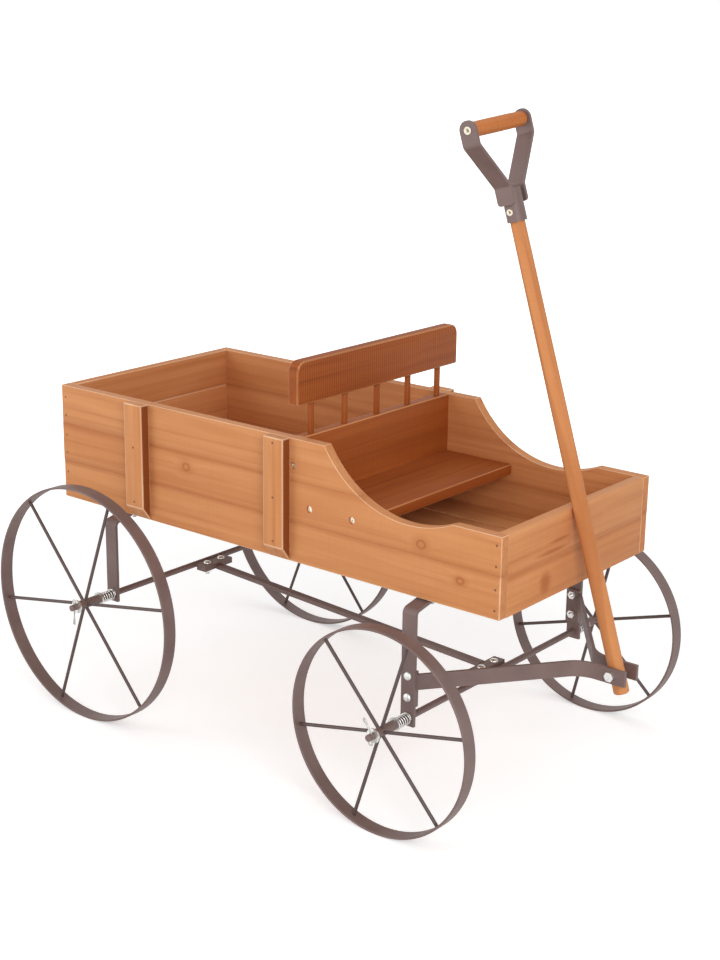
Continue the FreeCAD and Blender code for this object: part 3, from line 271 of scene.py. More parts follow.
def woodPaint(name, look, grain, across, tone=0.5, knots=(), saw=0.25, seams=(), patches=(), darkSides=False,
              ribs=0):
    # knots are (along the grain, across it, size), patches (along, across, half length, half width),
    # seams are places across the grain, ribs the spacing of planer marks
    paint = Paint(bpy.data.materials.new(name))
    wood = Grain(paint, grain, across)
    knotMask, bend = knotMarks(wood, knots, (wood.noise("bend") - 0.5) * woodMark["bend"])
    cycle = (wood.rings(bend) * look["ringsPerMetre"]).calc("FRACT")
    late = cycle ** 2 * (1 - cycle.smooth(0.80, 1.0))
    streak, fibre, sawn, cloud = [wood.noise(kind) for kind in ("streak", "fibre", "saw", "cloud")]
    colour = paint.mix(cloud.smooth(0.3, 0.7) * (0.35 + 0.5 * tone), look["plank"], look["pale"])
    colour = paint.mix(late * look["ringDepth"], colour, look["late"])
    colour = paint.mix(streak.smooth(0.5, 0.75) * woodMark["streak"], colour, look["late"])
    colour = paint.mix(streak.smooth(0.48, 0.28) * woodMark["paleStreak"], colour, look["pale"])
    colour = paint.mix(fibre.smooth(0.5, 0.8) * woodMark["fibre"], colour, look["late"])
    colour = paint.mix(sawn.smooth(0.45, 0.8) * (woodMark["saw"] * saw), colour, look["late"])
    for seam in seams:
        beside = 1 - (wood.across - seam).calc("ABSOLUTE").smooth(seamShade["start"], seamShade["end"])
        colour = paint.mix(beside * woodMark["seam"], colour, look["late"])
    for alongPatch, acrossPatch, halfLength, halfWidth in patches:
        along = (wood.along - alongPatch) / halfLength
        side = (wood.across - acrossPatch) / halfWidth
        far = (along * along + side * side).calc("SQRT") + (fibre - 0.5) * 0.9
        colour = paint.mix((1 - far.smooth(0.2, 1.1)) * woodMark["patch"], colour, look["knot"])
    if knotMask is not None:
        colour = paint.mix(knotMask, colour, look["knot"])
    normal = paint.normal()
    if darkSides:
        turned = paint.dot(normal, tuple(across)).calc("ABSOLUTE").smooth(0.75, 0.95)
        colour = paint.mix(turned * woodMark["darkSide"], colour, look["side"])
    endGrain = paint.dot(normal, tuple(grain)).calc("ABSOLUTE").smooth(0.8, 0.96)
    colour = paint.mix(endGrain * woodMark["endGrain"], colour, look["late"])
    # pale rounded corners: partly worn wood, partly a painted highlight where the corners catch the light
    wearAndHighlight = paint.node("Attribute", {"attribute_name": "wearAndHighlight"}, output="Fac")
    colour = paint.mix(wearAndHighlight * (cloud.smooth(0.3, 0.65) * 0.35 + 0.22 + streak * 0.2), colour, look["edge"])
    height = fibre * 0.35 + streak * 0.3 + sawn * (saw * 0.6) - late * 0.2
    if ribs:
        rib = (wood.along * (2 * math.pi / ribs) + (cloud - 0.5) * 3).calc("SINE") * 0.5 + 0.5
        colour = paint.mix(rib.smooth(0.35, 1.0) * woodMark["rib"], colour, look["late"])
        height = height - rib * 0.8
    paint.set(Base_Color=colour, Roughness=0.50 + fibre * 0.14, Normal=paint.bump(height, 0.28, 0.0004))
    paint.set(Specular_IOR_Level=0.22)
    return paint.owner


# metal: powder coat, plating and ivory rivets

coat = {
    "deep": (0.150, 0.092, 0.082),
    "pale": (0.185, 0.120, 0.108),
    "speck": (0.22, 0.155, 0.14),
    "edge": (0.26, 0.185, 0.17),
    "edgeReach": 0.0007,
    "spokePaintedShade": 0.5,
}
plating = {
    "zincPlate": {"shade": (0.80, 0.80, 0.78), "dull": (0.62, 0.62, 0.60), "rough": 0.26},
    "springWire": {"shade": (0.76, 0.76, 0.74), "dull": (0.55, 0.54, 0.52), "rough": 0.18},
    "pinSteel": {"shade": (0.50, 0.49, 0.46), "dull": (0.36, 0.35, 0.33), "rough": 0.34},
    "screwZinc": {"shade": (0.86, 0.80, 0.68), "dull": (0.66, 0.60, 0.50), "rough": 0.34},
    "nailSteel": {"shade": (0.27, 0.12, 0.06), "dull": (0.17, 0.075, 0.035), "rough": 0.5, "metal": 0.3},
}
ivory = {"shade": (0.80, 0.74, 0.62), "dull": (0.62, 0.54, 0.42)}


def ironPaint(name, depth=1.0):
    paint = Paint(bpy.data.materials.new(name))
    place = paint.place()
    speck = paint.noise(place, 1500, 2, 0.6)
    cloud = paint.noise(place, 30, 3)
    # a depth below 1 darkens the whole coat; the spokes use this as painted shade
    deep, pale = [[depth * value for value in coat[shade]] for shade in ("deep", "pale")]
    colour = paint.mix(cloud.smooth(0.3, 0.7), deep, pale)
    colour = paint.mix(speck.smooth(0.5, 0.8) * 0.3, colour, coat["speck"])
    colour = paint.mix(paint.edges(coat["edgeReach"]) * 0.3, colour, coat["edge"])
    paint.set(Base_Color=colour, Roughness=0.42 + speck * 0.12, Normal=paint.bump(speck, 0.12, 0.0002))
    paint.set(Specular_IOR_Level=0.5)
    return paint.owner


def platedPaint(name, shade, dull, rough, metal=0.95):
    paint = Paint(bpy.data.materials.new(name))
    place = paint.place()
    spangle = paint.noise(place, 900, 3)
    smear = paint.noise(place, 160, 2)
    colour = paint.mix(spangle.smooth(0.4, 0.7), shade, dull)
    paint.set(Base_Color=colour, Metallic=metal, Roughness=rough + smear * 0.18,
              Normal=paint.bump(spangle, 0.08, 0.0002))
    return paint.owner


def rivetPaint():
    paint = Paint(bpy.data.materials.new("ivoryRivet"))
    speck = paint.noise(paint.place(), 1200, 2)
    colour = paint.mix(speck.smooth(0.4, 0.75), ivory["shade"], ivory["dull"])
    paint.set(Base_Color=colour, Metallic=0.25, Roughness=0.36 + speck * 0.15,
              Normal=paint.bump(speck, 0.06, 0.0002))
    return paint.owner


iron = ironPaint("brownPowderCoat")
# the spokes get a darker copy of the same coat: painted shade for the shade they sit in inside the wheels
spokeShadedIron = ironPaint("brownPowderCoatPaintedShade", coat["spokePaintedShade"])
plated = {name: platedPaint(name, **look) for name, look in plating.items()}
rivetIvory = rivetPaint()
print("materials ready")


# mesh helpers

def newPiece(name, mesh, material, body, slotName, *nodes):
    piece = bpy.data.objects.new(name, mesh)
    bpy.context.scene.collection.objects.link(piece)
    mesh.materials.clear()
    mesh.materials.append(material)
    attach(piece, body)
    if nodes:
        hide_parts(*nodes)
    return piece


def meshFrom(vertices, faces, matrix=None):
    mesh = bpy.data.meshes.new("shape")
    mesh.from_pydata([tuple(vertex) for vertex in vertices], [], faces)
    if matrix is not None:
        mesh.transform(matrix)
    work = bmesh.new()
    work.from_mesh(mesh)
    bmesh.ops.remove_doubles(work, verts=work.verts, dist=1e-6)
    bmesh.ops.recalc_face_normals(work, faces=work.faces)
    work.to_mesh(mesh)
    work.free()
    mesh.update()
    return mesh


def shaded(mesh, angle):
    # smooth faces, with creases kept where the faces turn by more than the angle
    for polygon in mesh.polygons:
        polygon.use_smooth = True
    mesh.set_sharp_from_angle(angle=math.radians(angle))
    return mesh


arris = {"sharp": 35, "tight": 0.0003, "wearAndHighlightFrom": 0.0007, "faintWearAndHighlight": 0.1}


def bevelled(mesh, width, segments=3, tight=None):
    # rounds the sharp corners, those that a test picks only a little, and marks the wide ones for pale
    # edges, partly wear and partly a painted highlight
    work = bmesh.new()
    work.from_mesh(mesh)
    limit = math.radians(arris["sharp"])
    wearAndHighlight = work.faces.layers.float.new("wearAndHighlight")
    for amount, wanted in ((width, False), (arris["tight"], True)):
        sharp = [edge for edge in work.edges if len(edge.link_faces) == 2 and edge.calc_face_angle() > limit
                 and (tight is not None and tight(edge)) == wanted]
        if sharp:
            made = bmesh.ops.bevel(work, geom=sharp, offset=amount, segments=segments, profile=0.5,
                                   affect="EDGES", clamp_overlap=True)
            for face in made["faces"]:
                face[wearAndHighlight] = 1.0 if amount > arris["wearAndHighlightFrom"] else arris["faintWearAndHighlight"]
    work.to_mesh(mesh)
    work.free()
    return shaded(mesh, 30)


def slab(outline, start, end, axis):
    # an outline drawn across two axes, pulled along the third
    first, second = [number for number in range(3) if number != axis]
    vertices = []
    for depth in (start, end):
        for u, v in outline:
            spot = [0, 0, 0]
            spot[axis], spot[first], spot[second] = depth, u, v
            vertices.append(spot)
    count = len(outline)
    faces = [list(range(count)), list(range(count, 2 * count))[::-1]]
    for number in range(count):
        after = (number + 1) % count
        faces.append([number, after, after + count, number + count])
    return meshFrom(vertices, faces)


def lathe(profile, matrix, steps):
    # a profile of (distance, radius) turned about the local Z axis
    vertices = []
    faces = []
    for along, radius in profile:
        for step in range(steps):
            turn = 2 * math.pi * step / steps
            vertices.append((radius * math.cos(turn), radius * math.sin(turn), along))
    for ring in range(len(profile) - 1):
        for step in range(steps):
            after = (step + 1) % steps
            start = ring * steps
            faces.append([start + step, start + after, start + steps + after, start + steps + step])
    if profile[0] != profile[-1]:
        faces.append(list(range(steps))[::-1])
        faces.append([(len(profile) - 1) * steps + step for step in range(steps)])
    return shaded(meshFrom(vertices, faces, matrix), 35)


def roundWire(points, radius):
    # a wire with closed ends along a path
    curve = bpy.data.curves.new("path", "CURVE")
    curve.dimensions = "3D"
    curve.bevel_depth = radius
    curve.bevel_resolution = 3
    curve.use_fill_caps = True
    line = curve.splines.new("POLY")
    line.points.add(len(points) - 1)
    for spot, point in zip(line.points, points):
        spot.co = (*point, 1)
    holder = bpy.data.objects.new("path", curve)
    bpy.context.scene.collection.objects.link(holder)
    mesh = bpy.data.meshes.new_from_object(holder)
    bpy.data.objects.remove(holder)
    return shaded(mesh, 50)


def joined(meshes):
    work = bmesh.new()
    for mesh in meshes:
        work.from_mesh(mesh)
    whole = bpy.data.meshes.new("whole")
    work.to_mesh(whole)
    work.free()
    return whole


def carved(mesh, tools):
    # the tools are taken away from the mesh
    holder, cutter = [bpy.data.objects.new("carving", shape) for shape in (mesh, joined(tools))]
    for item in (holder, cutter):
        bpy.context.scene.collection.objects.link(item)
    carve = holder.modifiers.new("holes", "BOOLEAN")
    carve.operation = "DIFFERENCE"
    carve.solver = "EXACT"
    carve.object = cutter
    made = bpy.data.meshes.new_from_object(holder.evaluated_get(bpy.context.evaluated_depsgraph_get()))
    for item in (holder, cutter):
        bpy.data.objects.remove(item)
    return shaded(made, 30)


def aim(origin, way):
    # local Z along the given direction, at the origin
    return Matrix.Translation(origin) @ Vector(way).to_track_quat("Z", "Y").to_matrix().to_4x4()


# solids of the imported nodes, from which the fasteners take their places

def islands(node):
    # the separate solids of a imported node, each as the list of its corners
    work = bmesh.new()
    work.from_mesh(frame["nodes"][node].data)
    bmesh.ops.remove_doubles(work, verts=work.verts, dist=1e-6)
    left = set(work.verts)
    found = []
    while left:
        waiting = [left.pop()]
        solid = []
        while waiting:
            vert = waiting.pop()
            solid.append(vert.co.copy())
            for edge in vert.link_edges:
                other = edge.other_vert(vert)
                if other in left:
                    left.remove(other)
                    waiting.append(other)
        found.append(sorted(solid, key=lambda spot: tuple(spot)))
    work.free()
    return sorted(found, key=lambda solid: tuple(solid[0]))


def span(solid):
    return [[pick(spot[axis] for spot in solid) for axis in range(3)] for pick in (min, max)]


def fastenerSpots(node):
    # the outer middle of each nail or screw, with its side
    spots = []
    for solid in islands(node):
        lowest, highest = span(solid)
        side = 1 if lowest[1] > 0 else -1
        face = highest[1] if side > 0 else lowest[1]
        spots.append((side, Vector(((lowest[0] + highest[0]) / 2, face, (lowest[2] + highest[2]) / 2))))
    return spots


nailSpots = fastenerSpots("flush_nails")
screwSpots = fastenerSpots("side_screws")


# side planks, cut away by a round dip and bored for the fasteners

plank = {"height": 0.038, "edge": 0.0009, "gap": 0.00006}
dip = {"radius": 0.108, "inset": 0.095, "height": 0.062, "steps": 40, "closest": 2e-4}
hole = {
    "nail": {"radius": 0.00115, "depth": 0.0030},
    "screw": {"radius": 0.0034, "depth": 0.0034},
    "reach": 0.003,
    "proud": 0.001,
}
sideKnots = {
    "lower": [(0.2095, 0.2215, 0.0034)],
    "middle": [(0.1687, 0.2440, 0.0042), (-0.105, 0.2584, 0.0040)],
    "upper": [],
}
boxFront = high("front_plank_lower").x
boxTop = high("side_plank_upper_right").z
frontTop = high("front_plank_upper").z
dipX = boxFront - dip["inset"]
dipZ = low("side_plank_lower_right").z + dip["height"] + dip["radius"]
sideSeams = [low("side_plank_middle_right").z, low("side_plank_upper_right").z]


def topLine(x):
    # height of the side's upper edge at a place along the cart
    limit = frontTop if x >= dipX else boxTop
    if abs(x - dipX) < dip["radius"]:
        limit = min(limit, dipZ - math.sqrt(dip["radius"] ** 2 - (x - dipX) ** 2))
    return limit


def sideOutline(bottom, top, back, front):
    # outline of one side plank, its upper edge following the dip
    reach = dip["radius"]
    marks = [back, front]
    marks += [dipX - reach + 2 * reach * step / dip["steps"] for step in range(dip["steps"] + 1)]
    for level in (bottom, top, frontTop, boxTop):
        drop = dipZ - level
        if abs(drop) < reach:
            half = math.sqrt(reach * reach - drop * drop)
            marks += [dipX - half, dipX + half]
    marks = sorted({round(mark, 6) for mark in marks if back <= mark <= front})
    edge = []
    for mark in marks:
        limit = min(top, topLine(mark))
        if limit > bottom + 1e-5:
            edge.append((mark, limit))
        elif edge and edge[-1][1] > bottom + 1e-5:
            edge.append((mark, bottom))
    if edge[-1][1] > bottom:
        edge.append((edge[-1][0], bottom))
    edge.append((back, bottom))
    spaced = [edge[0]]
    for spot in edge[1:]:
        if (Vector(spot) - Vector(spaced[-1])).length > dip["closest"]:
            spaced.append(spot)
    return spaced


def alongSeam(edge):
    return all(min(abs(vert.co.z - level) for level in sideSeams) < 2e-4 for vert in edge.verts)


def drilled(mesh, side, lowest, highest):
    # holes for the fasteners that enter this board from its outer face
    face = lowest.y if side < 0 else highest.y
    proud = hole["proud"]
    tools = []
    for spots, bore in ((nailSpots, hole["nail"]), (screwSpots, hole["screw"])):
        deep, radius = bore["depth"], bore["radius"]
        profile = [(-deep, 0), (-deep, radius), (proud, radius), (proud, 0)]
        for ownSide, spot in spots:
            inside = lowest.x < spot.x < highest.x and lowest.z < spot.z < highest.z
            if ownSide == side and inside and abs(spot.y - face) < hole["reach"]:
                tools.append(lathe(profile, aim(Vector((spot.x, face, spot.z)), (0, side, 0)), 24))
    return carved(mesh, tools) if tools else mesh


def buildSides():
    for sideName, side in sides.items():
        for row, knots in sideKnots.items():
            node = f"side_plank_{row}_{sideName}"
            lowest, highest = low(node), high(node)
            top = min(lowest.z + plank["height"], boxTop)
            outline = sideOutline(lowest.z + plank["gap"], top - plank["gap"], lowest.x, boxFront)
            mesh = bevelled(slab(outline, lowest.y, highest.y, 1), plank["edge"], tight=alongSeam)
            mesh = drilled(mesh, side, lowest, highest)
            tone = random.uniform(0.3, 0.7)
            ownKnots = knots if side < 0 else []
            paint = woodPaint(node, stain, axes["x"], axes["z"], tone, ownKnots, seams=sideSeams)
            newPiece(f"sidePlank_{row}_{sideName}", mesh, paint, "root", "warm_plank", node)


buildSides()
print("side planks built")


# end planks, divider and seat

frontPatches = {
    "lower": [(-0.050, 0.211, 0.011, 0.014)],
    "upper": [(-0.040, 0.2370, 0.030, 0.0032), (-0.030, 0.2450, 0.022, 0.0024)],
}
frontSeam = low("front_plank_upper").z


def boxOutline(lowest, highest):
    # the four corners of a straight board, seen from the side
    return [(lowest.x, lowest.z), (highest.x, lowest.z), (highest.x, highest.z), (lowest.x, highest.z)]


def plainBoard(name, node, slotName, look, across, edge=plank["edge"], **marks):
    # a board across the cart that fills the box of its node
    lowest, highest = low(node), high(node)
    mesh = bevelled(slab(boxOutline(lowest, highest), lowest.y, highest.y, 1), edge)
    newPiece(name, mesh, woodPaint(name, look, axes["y"], axes[across], **marks), "root", slotName, node)


def buildEnds():
    for row in ("lower", "middle", "upper"):
        plainBoard(f"rearPlank_{row}", f"rear_plank_{row}", "warm_plank", stain, "z")
    for row, patches in frontPatches.items():
        plainBoard(f"frontPlank_{row}", f"front_plank_{row}", "warm_plank", stain, "z", arris["tight"],
                   tone=0.8, seams=[frontSeam], patches=patches)
    plainBoard("dividerBoard", "divider_board", "dark_plank", redStain, "z", saw=0.5)
    plainBoard("seatBoard", "seat_board", "dark_plank", redStain, "x", saw=0.5)


# floor boards

floorBoard = {"count": 5, "gap": 0.002, "edge": 0.0006}


def buildFloor():
    lowest, highest = low("floor_boards"), high("floor_boards")
    count = floorBoard["count"]
    width = (highest.y - lowest.y - floorBoard["gap"] * (count - 1)) / count
    pieces = []
    for number in range(count):
        start = lowest.y + (width + floorBoard["gap"]) * number
        board = slab(boxOutline(lowest, highest), start, start + width, 1)
        pieces.append(bevelled(board, floorBoard["edge"]))
    paint = woodPaint("floorBoards", stain, axes["x"], axes["y"], 0.4)
    newPiece("floorBoards", joined(pieces), paint, "root", "warm_plank", "floor_boards")


# battens, cut back to the wall at the foot

batten = {"foot": 0.013, "edge": 0.0011}


def buildBattens():
    for sideName, side in sides.items():
        for place in ("rear", "front"):
            node = f"batten_{place}_{sideName}"
            lowest, highest = low(node), high(node)
            wall, face = (highest.y, lowest.y) if side < 0 else (lowest.y, highest.y)
            foot = lowest.z + batten["foot"]
            outline = [(wall, lowest.z), (face, foot), (face, highest.z), (wall, highest.z)]
            mesh = bevelled(slab(outline, lowest.x, highest.x, 0), batten["edge"])
            paint = woodPaint(node, stain, axes["z"], axes["x"], 0.75, darkSides=True)
            newPiece(f"batten_{place}_{sideName}", drilled(mesh, side, lowest, highest), paint, "root",
                     "warm_plank", node)


# seat back: a rail with round upper corners on five square spindles

rail = {"corner": 0.010, "arcSteps": 8, "edge": 0.0013, "ribs": 0.0030}
spindle = {"count": 5, "width": 0.005, "edge": 0.0006}


def buildRail():
    lowest, highest = low("backrest_rail"), high("backrest_rail")
    corner = rail["corner"]
    outline = [(lowest.y, lowest.z), (highest.y, lowest.z)]
    for centre, start in ((highest.y - corner, 0), (lowest.y + corner, 90)):
        for step in range(rail["arcSteps"] + 1):
            turn = math.radians(start + 90 * step / rail["arcSteps"])
            outline.append((centre + corner * math.cos(turn), highest.z - corner + corner * math.sin(turn)))
    mesh = bevelled(slab(outline, lowest.x, highest.x, 0), rail["edge"])
    paint = woodPaint("backrestRail", redStain, axes["y"], axes["z"], 0.8, saw=0.4, ribs=rail["ribs"])
    newPiece("backrestRail", mesh, paint, "root", "dark_plank", "backrest_rail")


def buildSpindles():
    lowest, highest = low("backrest_spindles"), high("backrest_spindles")
    pitch = (highest.y - lowest.y - spindle["width"]) / (spindle["count"] - 1)
    pieces = []
    for number in range(spindle["count"]):
        start = lowest.y + pitch * number
        post = slab(boxOutline(lowest, highest), start, start + spindle["width"], 1)
        pieces.append(bevelled(post, spindle["edge"], 2))
    paint = woodPaint("spindleWood", redStain, axes["z"], axes["y"], 0.4)
    newPiece("backrestSpindles", joined(pieces), paint, "root", "dark_plank", "backrest_spindles")


buildEnds()
buildFloor()
buildBattens()
buildRail()
buildSpindles()
print("other boards built")


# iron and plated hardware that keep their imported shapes

ironNodes = ["rear_hanger", "front_hanger", "rear_axle", "front_axle", "rear_axle_lug", "front_axle_lug",
             "cross_plates", "reach_bar", "yoke_arm_right", "yoke_arm_left", "socket_tube",
             "handle_arm_right", "handle_arm_left"]
ironNodes += [f"{corner}_{piece}" for corner in corners for piece in ("band", "hub")]
spokeNodes = [f"{corner}_spokes" for corner in corners]
zincNodes = ["pivot_bolt", "pivot_nut", "small_nuts", "axle_washers"]


def paintNodes(nodes, material):
    for node in nodes:
        mesh = frame["nodes"][node].data
        mesh.materials.clear()
        mesh.materials.append(material)


paintNodes(ironNodes, iron)
paintNodes(spokeNodes, spokeShadedIron)
paintNodes(zincNodes, plated["zincPlate"])
print("metal painted")


# bolts with domed heads and threaded ends

bolt = {"shank": 0.0020, "headHeight": 0.0022, "rimShare": 0.18, "pitch": 0.0007, "threadDepth": 0.0003,
        "threadLength": 0.009, "endChamfer": 0.0004}
boltNodes = {"hanger_bolts": "hangerBolts", "leg_bolts": "legBolts", "reach_bolts": "reachBolts"}


def boltProfile(length, head):
    # from the threaded end at -length, past the seat at 0, to the top of the dome
    shank, pitch, rise, rim = [bolt[key] for key in ("shank", "pitch", "headHeight", "rimShare")]
    profile = [(-length, 0), (-length, shank - bolt["endChamfer"])]
    for number in range(int(bolt["threadLength"] / pitch)):
        start = -length + 0.0003 + number * pitch
        profile += [(start, shank), (start + pitch / 2, shank - bolt["threadDepth"])]
    profile = [spot for spot in profile if spot[0] < -0.0002]
    profile += [(0, shank), (0, head), (rise * rim, head)]
    for share in (0.25, 0.5, 0.75, 0.92):
        angle = share * math.pi / 2
        profile.append((rise * (rim + (1 - rim) * math.sin(angle)), head * math.cos(angle) ** 0.8))
    return profile + [(rise, 0)]


def domedBolt(solid):
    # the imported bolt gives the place, the length and the end that its head is at
    lowest, highest = span(solid)
    axis = max(range(3), key=lambda number: highest[number] - lowest[number])
    across = [number for number in range(3) if number != axis]
    centre = [(first + second) / 2 for first, second in zip(lowest, highest)]
    atTop = [spot for spot in solid if highest[axis] - spot[axis] < bolt["headHeight"] * 0.9]
    widest = max(math.hypot(*(spot[number] - centre[number] for number in across)) for spot in atTop)
    headUp = widest > bolt["shank"] * 1.2
    way = Vector((0, 0, 0))
    way[axis] = 1 if headUp else -1
    seat = Vector(centre)
    seat[axis] = highest[axis] if headUp else lowest[axis]
    seat -= way * bolt["headHeight"]
    length = highest[axis] - lowest[axis] - bolt["headHeight"]
    head = (highest[across[0]] - lowest[across[0]]) / 2
    return lathe(boltProfile(length, head), aim(seat, way), 28)


def buildBolts():
    for node, name in boltNodes.items():
        meshes = [domedBolt(solid) for solid in islands(node)]
        newPiece(name, shaded(joined(meshes), 35), plated["zincPlate"], "root", "zinc", node)


# sunk screws with crossed slots

screw = {"head": 0.0032, "shank": 0.0017, "length": 0.024, "tip": 0.003, "cone": 0.0016, "slotWidth": 0.0007,
         "slotReach": 0.0019, "slotDepth": 0.0009}


def buildScrews():
    length, head, shank, cone = [screw[key] for key in ("length", "head", "shank", "cone")]
    profile = [(-length, 0), (-length + screw["tip"], shank * 0.8), (-cone - 0.0012, shank),
               (-cone, shank * 1.2), (-0.0004, head), (-0.0001, head - 0.0001), (0, head - 0.0004), (0, 0)]
    wide, thin, deep = screw["slotReach"], screw["slotWidth"] / 2, screw["slotDepth"]
    cross = [(-thin, -wide), (thin, -wide), (thin, -thin), (wide, -thin), (wide, thin), (thin, thin),
             (thin, wide), (-thin, wide), (-thin, thin), (-wide, thin), (-wide, -thin), (-thin, -thin)]
    meshes = []
    for side, spot in screwSpots:
        place = aim(spot, (0, side, 0)) @ Matrix.Rotation(random.uniform(0, 1.5), 4, "Z")
        slot = slab(cross, -deep, deep, 2)
        slot.transform(place)
        meshes.append(carved(lathe(profile, place, 32), [slot]))
    newPiece("sideScrews", shaded(joined(meshes), 35), plated["screwZinc"], "root", "zinc", "side_screws")


# nails, sunk a little below the face

nail = {"radius": 0.00105, "length": 0.018, "tip": 0.002, "sunk": 0.0002}


def buildNails():
    length, radius, sunk = nail["length"], nail["radius"], nail["sunk"]
    profile = [(-length, 0), (-length + nail["tip"], radius * 0.8), (-0.0015, radius * 0.85),
               (-0.0006, radius), (-sunk - 0.0002, radius), (-sunk, radius * 0.8), (-sunk, 0)]
    nails = joined([lathe(profile, aim(spot, (0, side, 0)), 20) for side, spot in nailSpots])
    newPiece("flushNails", shaded(nails, 35), plated["nailSteel"], "root", "dull_nail", "flush_nails")


# split pins: one wire folded to an eye, the front ones put in from below and bent back towards the box

pin = {"wire": 0.00065, "eye": 0.0019, "axle": 0.003, "leg": 0.0175, "straight": 0.0045, "gap": 0.0004,
       "spread": 6, "rearLean": 4, "frontLean": 38}


def pinHalf(way, lean):
    # from the end of one leg up to the top of the eye
    turned = math.radians(lean + pin["spread"] * way)
    half = []
    for step in range(8, -1, -1):
        along = pin["leg"] * step / 8
        past = max(0.0, along - pin["straight"])
        half.append((way * pin["gap"] - past * math.sin(turned), past - along - past * math.cos(turned)))
    eyeMiddle = pin["axle"] + pin["wire"] + pin["eye"]
    for step in range(7):
        turn = math.radians(-78 + 168 * step / 6)
        half.append((way * pin["eye"] * math.cos(turn), eyeMiddle + pin["eye"] * math.sin(turn)))
    return half


def buildPins():
    solids = [span(solid) for solid in islands("cotter_pins")]
    meshes = []
    for name, (side, axle) in corners.items():
        front = name.startswith("front")
        up, lean = (-1, pin["frontLean"]) if front else (1, pin["rearLean"])
        lowest, highest = [ends for ends in solids
                           if abs(ends[0][0] - axle.x) < 0.01 and ends[0][1] * side > 0][0]
        across = (lowest[1] + highest[1]) / 2
        flat = pinHalf(1, lean) + pinHalf(-1, lean)[::-1]
        points = [Vector((axle.x + u, across, axle.z + up * v)) for u, v in flat]
        meshes.append(roundWire(points, pin["wire"]))
    newPiece("cotterPins", joined(meshes), plated["pinSteel"], "root", "zinc", "cotter_pins")


buildBolts()
buildScrews()
buildNails()
buildPins()
print("bolts, screws, nails and pins built")


# springs, one unbroken wire each with closed end turns

spring = {"radius": 0.0048, "wire": 0.00055, "turns": 6.5, "steps": 30, "closed": 0.8, "closedPitch": 1.05}


def springHeight(turned, length):
    # the first and last turns lie close, the rest are even
    thick = 2 * spring["wire"]
    tight = thick * spring["closedPitch"]
    closed = spring["closed"]
    free = (length - thick - 2 * closed * tight) / (spring["turns"] - 2 * closed)
    if turned < closed:
        return thick / 2 + turned * tight
    if turned < spring["turns"] - closed:
        return thick / 2 + closed * tight + (turned - closed) * free
    return length - thick / 2 - (spring["turns"] - turned) * tight


def buildSprings():
    meshes = []
    legFace = high("rear_hanger").y
    length = high("hub_springs").y - legFace
    for side, axle in corners.values():
        points = []
        for step in range(int(spring["turns"] * spring["steps"]) + 1):
            turned = step / spring["steps"]
            turn = 2 * math.pi * turned
            out = side * (legFace + springHeight(turned, length))
            points.append((axle.x + spring["radius"] * math.cos(turn), out,
                           axle.z + spring["radius"] * math.sin(turn)))
        meshes.append(roundWire(points, spring["wire"]))
    newPiece("hubSprings", joined(meshes), plated["springWire"], "root", "spring_wire", "hub_springs")


# pole, tapered towards its socket; distances are measured up from the pivot

pole = {"radius": 0.0069, "topRadius": 0.0062, "tail": 0.0187, "taper": 0.240, "socket": 0.3945,
        "top": 0.4215, "edge": 0.0008}


def buildPole():
    radius, topRadius, tail, edge = [pole[key] for key in ("radius", "topRadius", "tail", "edge")]
    taper, top = pole["taper"], pole["top"]
    profile = [(-tail, 0), (-tail, radius - edge), (-tail + edge, radius), (taper / 2, radius),
               (taper, radius), (pole["socket"], topRadius), (top, topRadius), (top, 0)]
    paint = woodPaint("poleWood", poleStain, poleAxis, gripAxis, 0.7)
    newPiece("pole", lathe(profile, handleFrame, 48), paint, "handle", "pole_wood", "pole")


# grip, a little fuller in the middle, bored for its rivets

grip = {"radius": 0.0064, "crown": 0.0005, "height": 0.4745, "half": 0.038, "edge": 0.0007, "bore": 0.0016}


def buildGrip():
    half, edge, bore, crown = [grip[key] for key in ("half", "edge", "bore", "crown")]
    thin = grip["radius"] - crown
    profile = [(-half, bore), (-half, thin - edge), (-half + edge, thin)]
    for step in range(1, 12):
        share = step / 12 * 2 - 1
        profile.append((share * (half - edge), thin + crown * (1 - share ** 4)))
    profile += [(half - edge, thin), (half, thin - edge), (half, bore), (-half, bore)]
    centre = handleFrame @ Vector((0, 0, grip["height"]))
    paint = woodPaint("gripWood", gripStain, gripAxis, foreAxis, 0.6, saw=1.0)
    newPiece("grip", lathe(profile, aim(centre, gripAxis), 48), paint, "handle", "pole_wood", "grip")


# hollow rivets with rolled rims, through the arms into the grip and through the socket tube

gripRivet = {
    "face": 0.0407, "height": 0.4745,
    "profile": [(0.0002, 0.0014), (-0.0115, 0.0015), (-0.0115, 0.0023), (0, 0.0023), (0, 0.0032),
                (0.0003, 0.0034), (0.0006, 0.0033), (0.0009, 0.0028), (0.0009, 0.0023), (0.0006, 0.0017),
                (0.0002, 0.0014)],
}
tubeRivet = {
    "face": 0.00835, "height": 0.403,
    "profile": [(0.0002, 0.0010), (-0.0020, 0.0011), (-0.0020, 0.0015), (-0.0009, 0.0015), (-0.0009, 0.0028),
                (0.0001, 0.0029), (0.0005, 0.0028), (0.0008, 0.0024), (0.0008, 0.0018), (0.0006, 0.0014),
                (0.0002, 0.0010)],
}


def buildRivets():
    meshes = []
    for side in sides.values():
        for rivet in (gripRivet, tubeRivet):
            place = handleFrame @ Vector((0, side * rivet["face"], rivet["height"]))
            meshes.append(lathe(rivet["profile"], aim(place, gripAxis * side), 32))
    newPiece("handleRivets", shaded(joined(meshes), 50), rivetIvory, "handle", "pale_rivet", "handle_rivets")


buildSprings()
buildPole()
buildGrip()
buildRivets()
print("springs, pole and grip built")


# camera

view = {
    "place": (0.96788, -1.19101, 0.70004),
    "azimuth": 38.86,
    "elevation": 16.67,
    "roll": 0.75,
    "focalPixels": 1694.86,
    "longSide": 960,
    "sensor": 36,
}


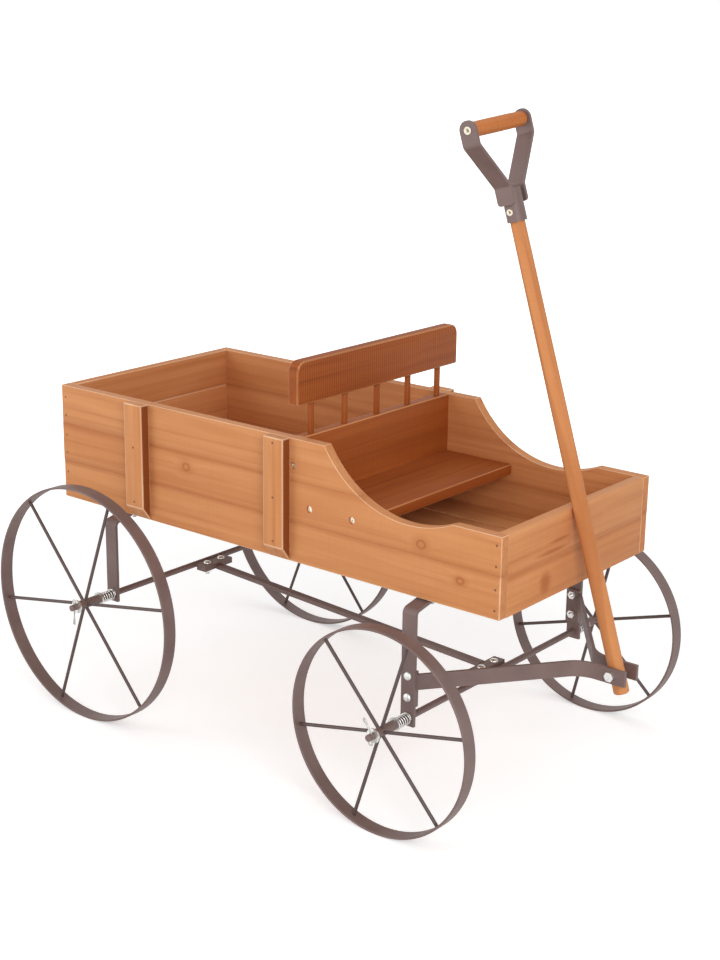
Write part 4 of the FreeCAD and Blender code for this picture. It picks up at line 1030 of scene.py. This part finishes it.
def addCamera():
    data = bpy.data.cameras.new("camera")
    data.sensor_width = view["sensor"]
    data.sensor_fit = "AUTO"
    data.lens = view["focalPixels"] * view["sensor"] / view["longSide"]
    data.clip_start = 0.01
    camera = bpy.data.objects.new("camera", data)
    bpy.context.scene.collection.objects.link(camera)
    azimuth, elevation, roll = (math.radians(view[name]) for name in ("azimuth", "elevation", "roll"))
    back = Vector((math.sin(azimuth) * math.cos(elevation), -math.cos(azimuth) * math.cos(elevation),
                   math.sin(elevation)))
    flatRight = Vector((math.cos(azimuth), math.sin(azimuth), 0))
    flatUp = back.cross(flatRight)
    right = flatRight * math.cos(roll) + flatUp * math.sin(roll)
    up = flatUp * math.cos(roll) - flatRight * math.sin(roll)
    turn = Matrix((right, up, back)).transposed().to_4x4()
    camera.matrix_world = Matrix.Translation(view["place"]) @ turn
    bpy.context.scene.camera = camera


# lamps, all turned to the middle of the cart

lamps = {
    "key": {"place": (1.9, -1.5, 1.3), "size": 1.4, "power": 33},
    "fill": {"place": (-1.4, -1.9, 1.0), "size": 1.8, "power": 17},
    "top": {"place": (0.1, 0.6, 2.3), "size": 2.0, "power": 5},
}
lampTarget = Vector((0, 0, 0.25))


def addLamps():
    for name, lamp in lamps.items():
        data = bpy.data.lights.new(name, "AREA")
        data.shape = "DISK"
        data.size = lamp["size"]
        data.energy = lamp["power"]
        light = bpy.data.objects.new(name, data)
        bpy.context.scene.collection.objects.link(light)
        place = Vector(lamp["place"])
        light.matrix_world = aim(place, place - lampTarget)


# white surroundings that light the cart at half strength

skyLight = 0.50


def addWorld():
    world = bpy.data.worlds.new("studio")
    bpy.context.scene.world = world
    sky = Paint(world, "Background")
    sky.set(Color=(1, 1, 1, 1), Strength=sky.seen() * (1 - skyLight) + skyLight)


# pale floor that is pure white away from the cart, so that only the cart's shadow is left

floor = {"reach": 40, "colour": (0.80, 0.80, 0.80, 1), "glow": (0.46, 0.46, 0.46), "whiteFrom": 0.45,
         "whiteAt": 1.3}


def addFloor():
    reach = floor["reach"]
    mesh = meshFrom([(-reach, -reach, 0), (reach, -reach, 0), (reach, reach, 0), (-reach, reach, 0)],
                    [[0, 1, 2, 3]])
    sheet = bpy.data.objects.new("floor", mesh)
    bpy.context.scene.collection.objects.link(sheet)
    paint = Paint(bpy.data.materials.new("paleFloor"))
    place = paint.place()
    away = paint.dot(place, place).calc("SQRT").smooth(floor["whiteFrom"], floor["whiteAt"])
    white = paint.mix(away, floor["glow"], (1.0, 1.0, 1.0))
    paint.set(Base_Color=floor["colour"], Roughness=0.9, Specular_IOR_Level=0.0, Emission_Strength=1.0)
    paint.set(Emission_Color=paint.mix(paint.seen(), (0, 0, 0), white))
    mesh.materials.append(paint.owner)


addCamera()
addLamps()
addWorld()
addFloor()
bpy.context.scene.view_settings.view_transform = "Standard"
print("camera, light and floor set")
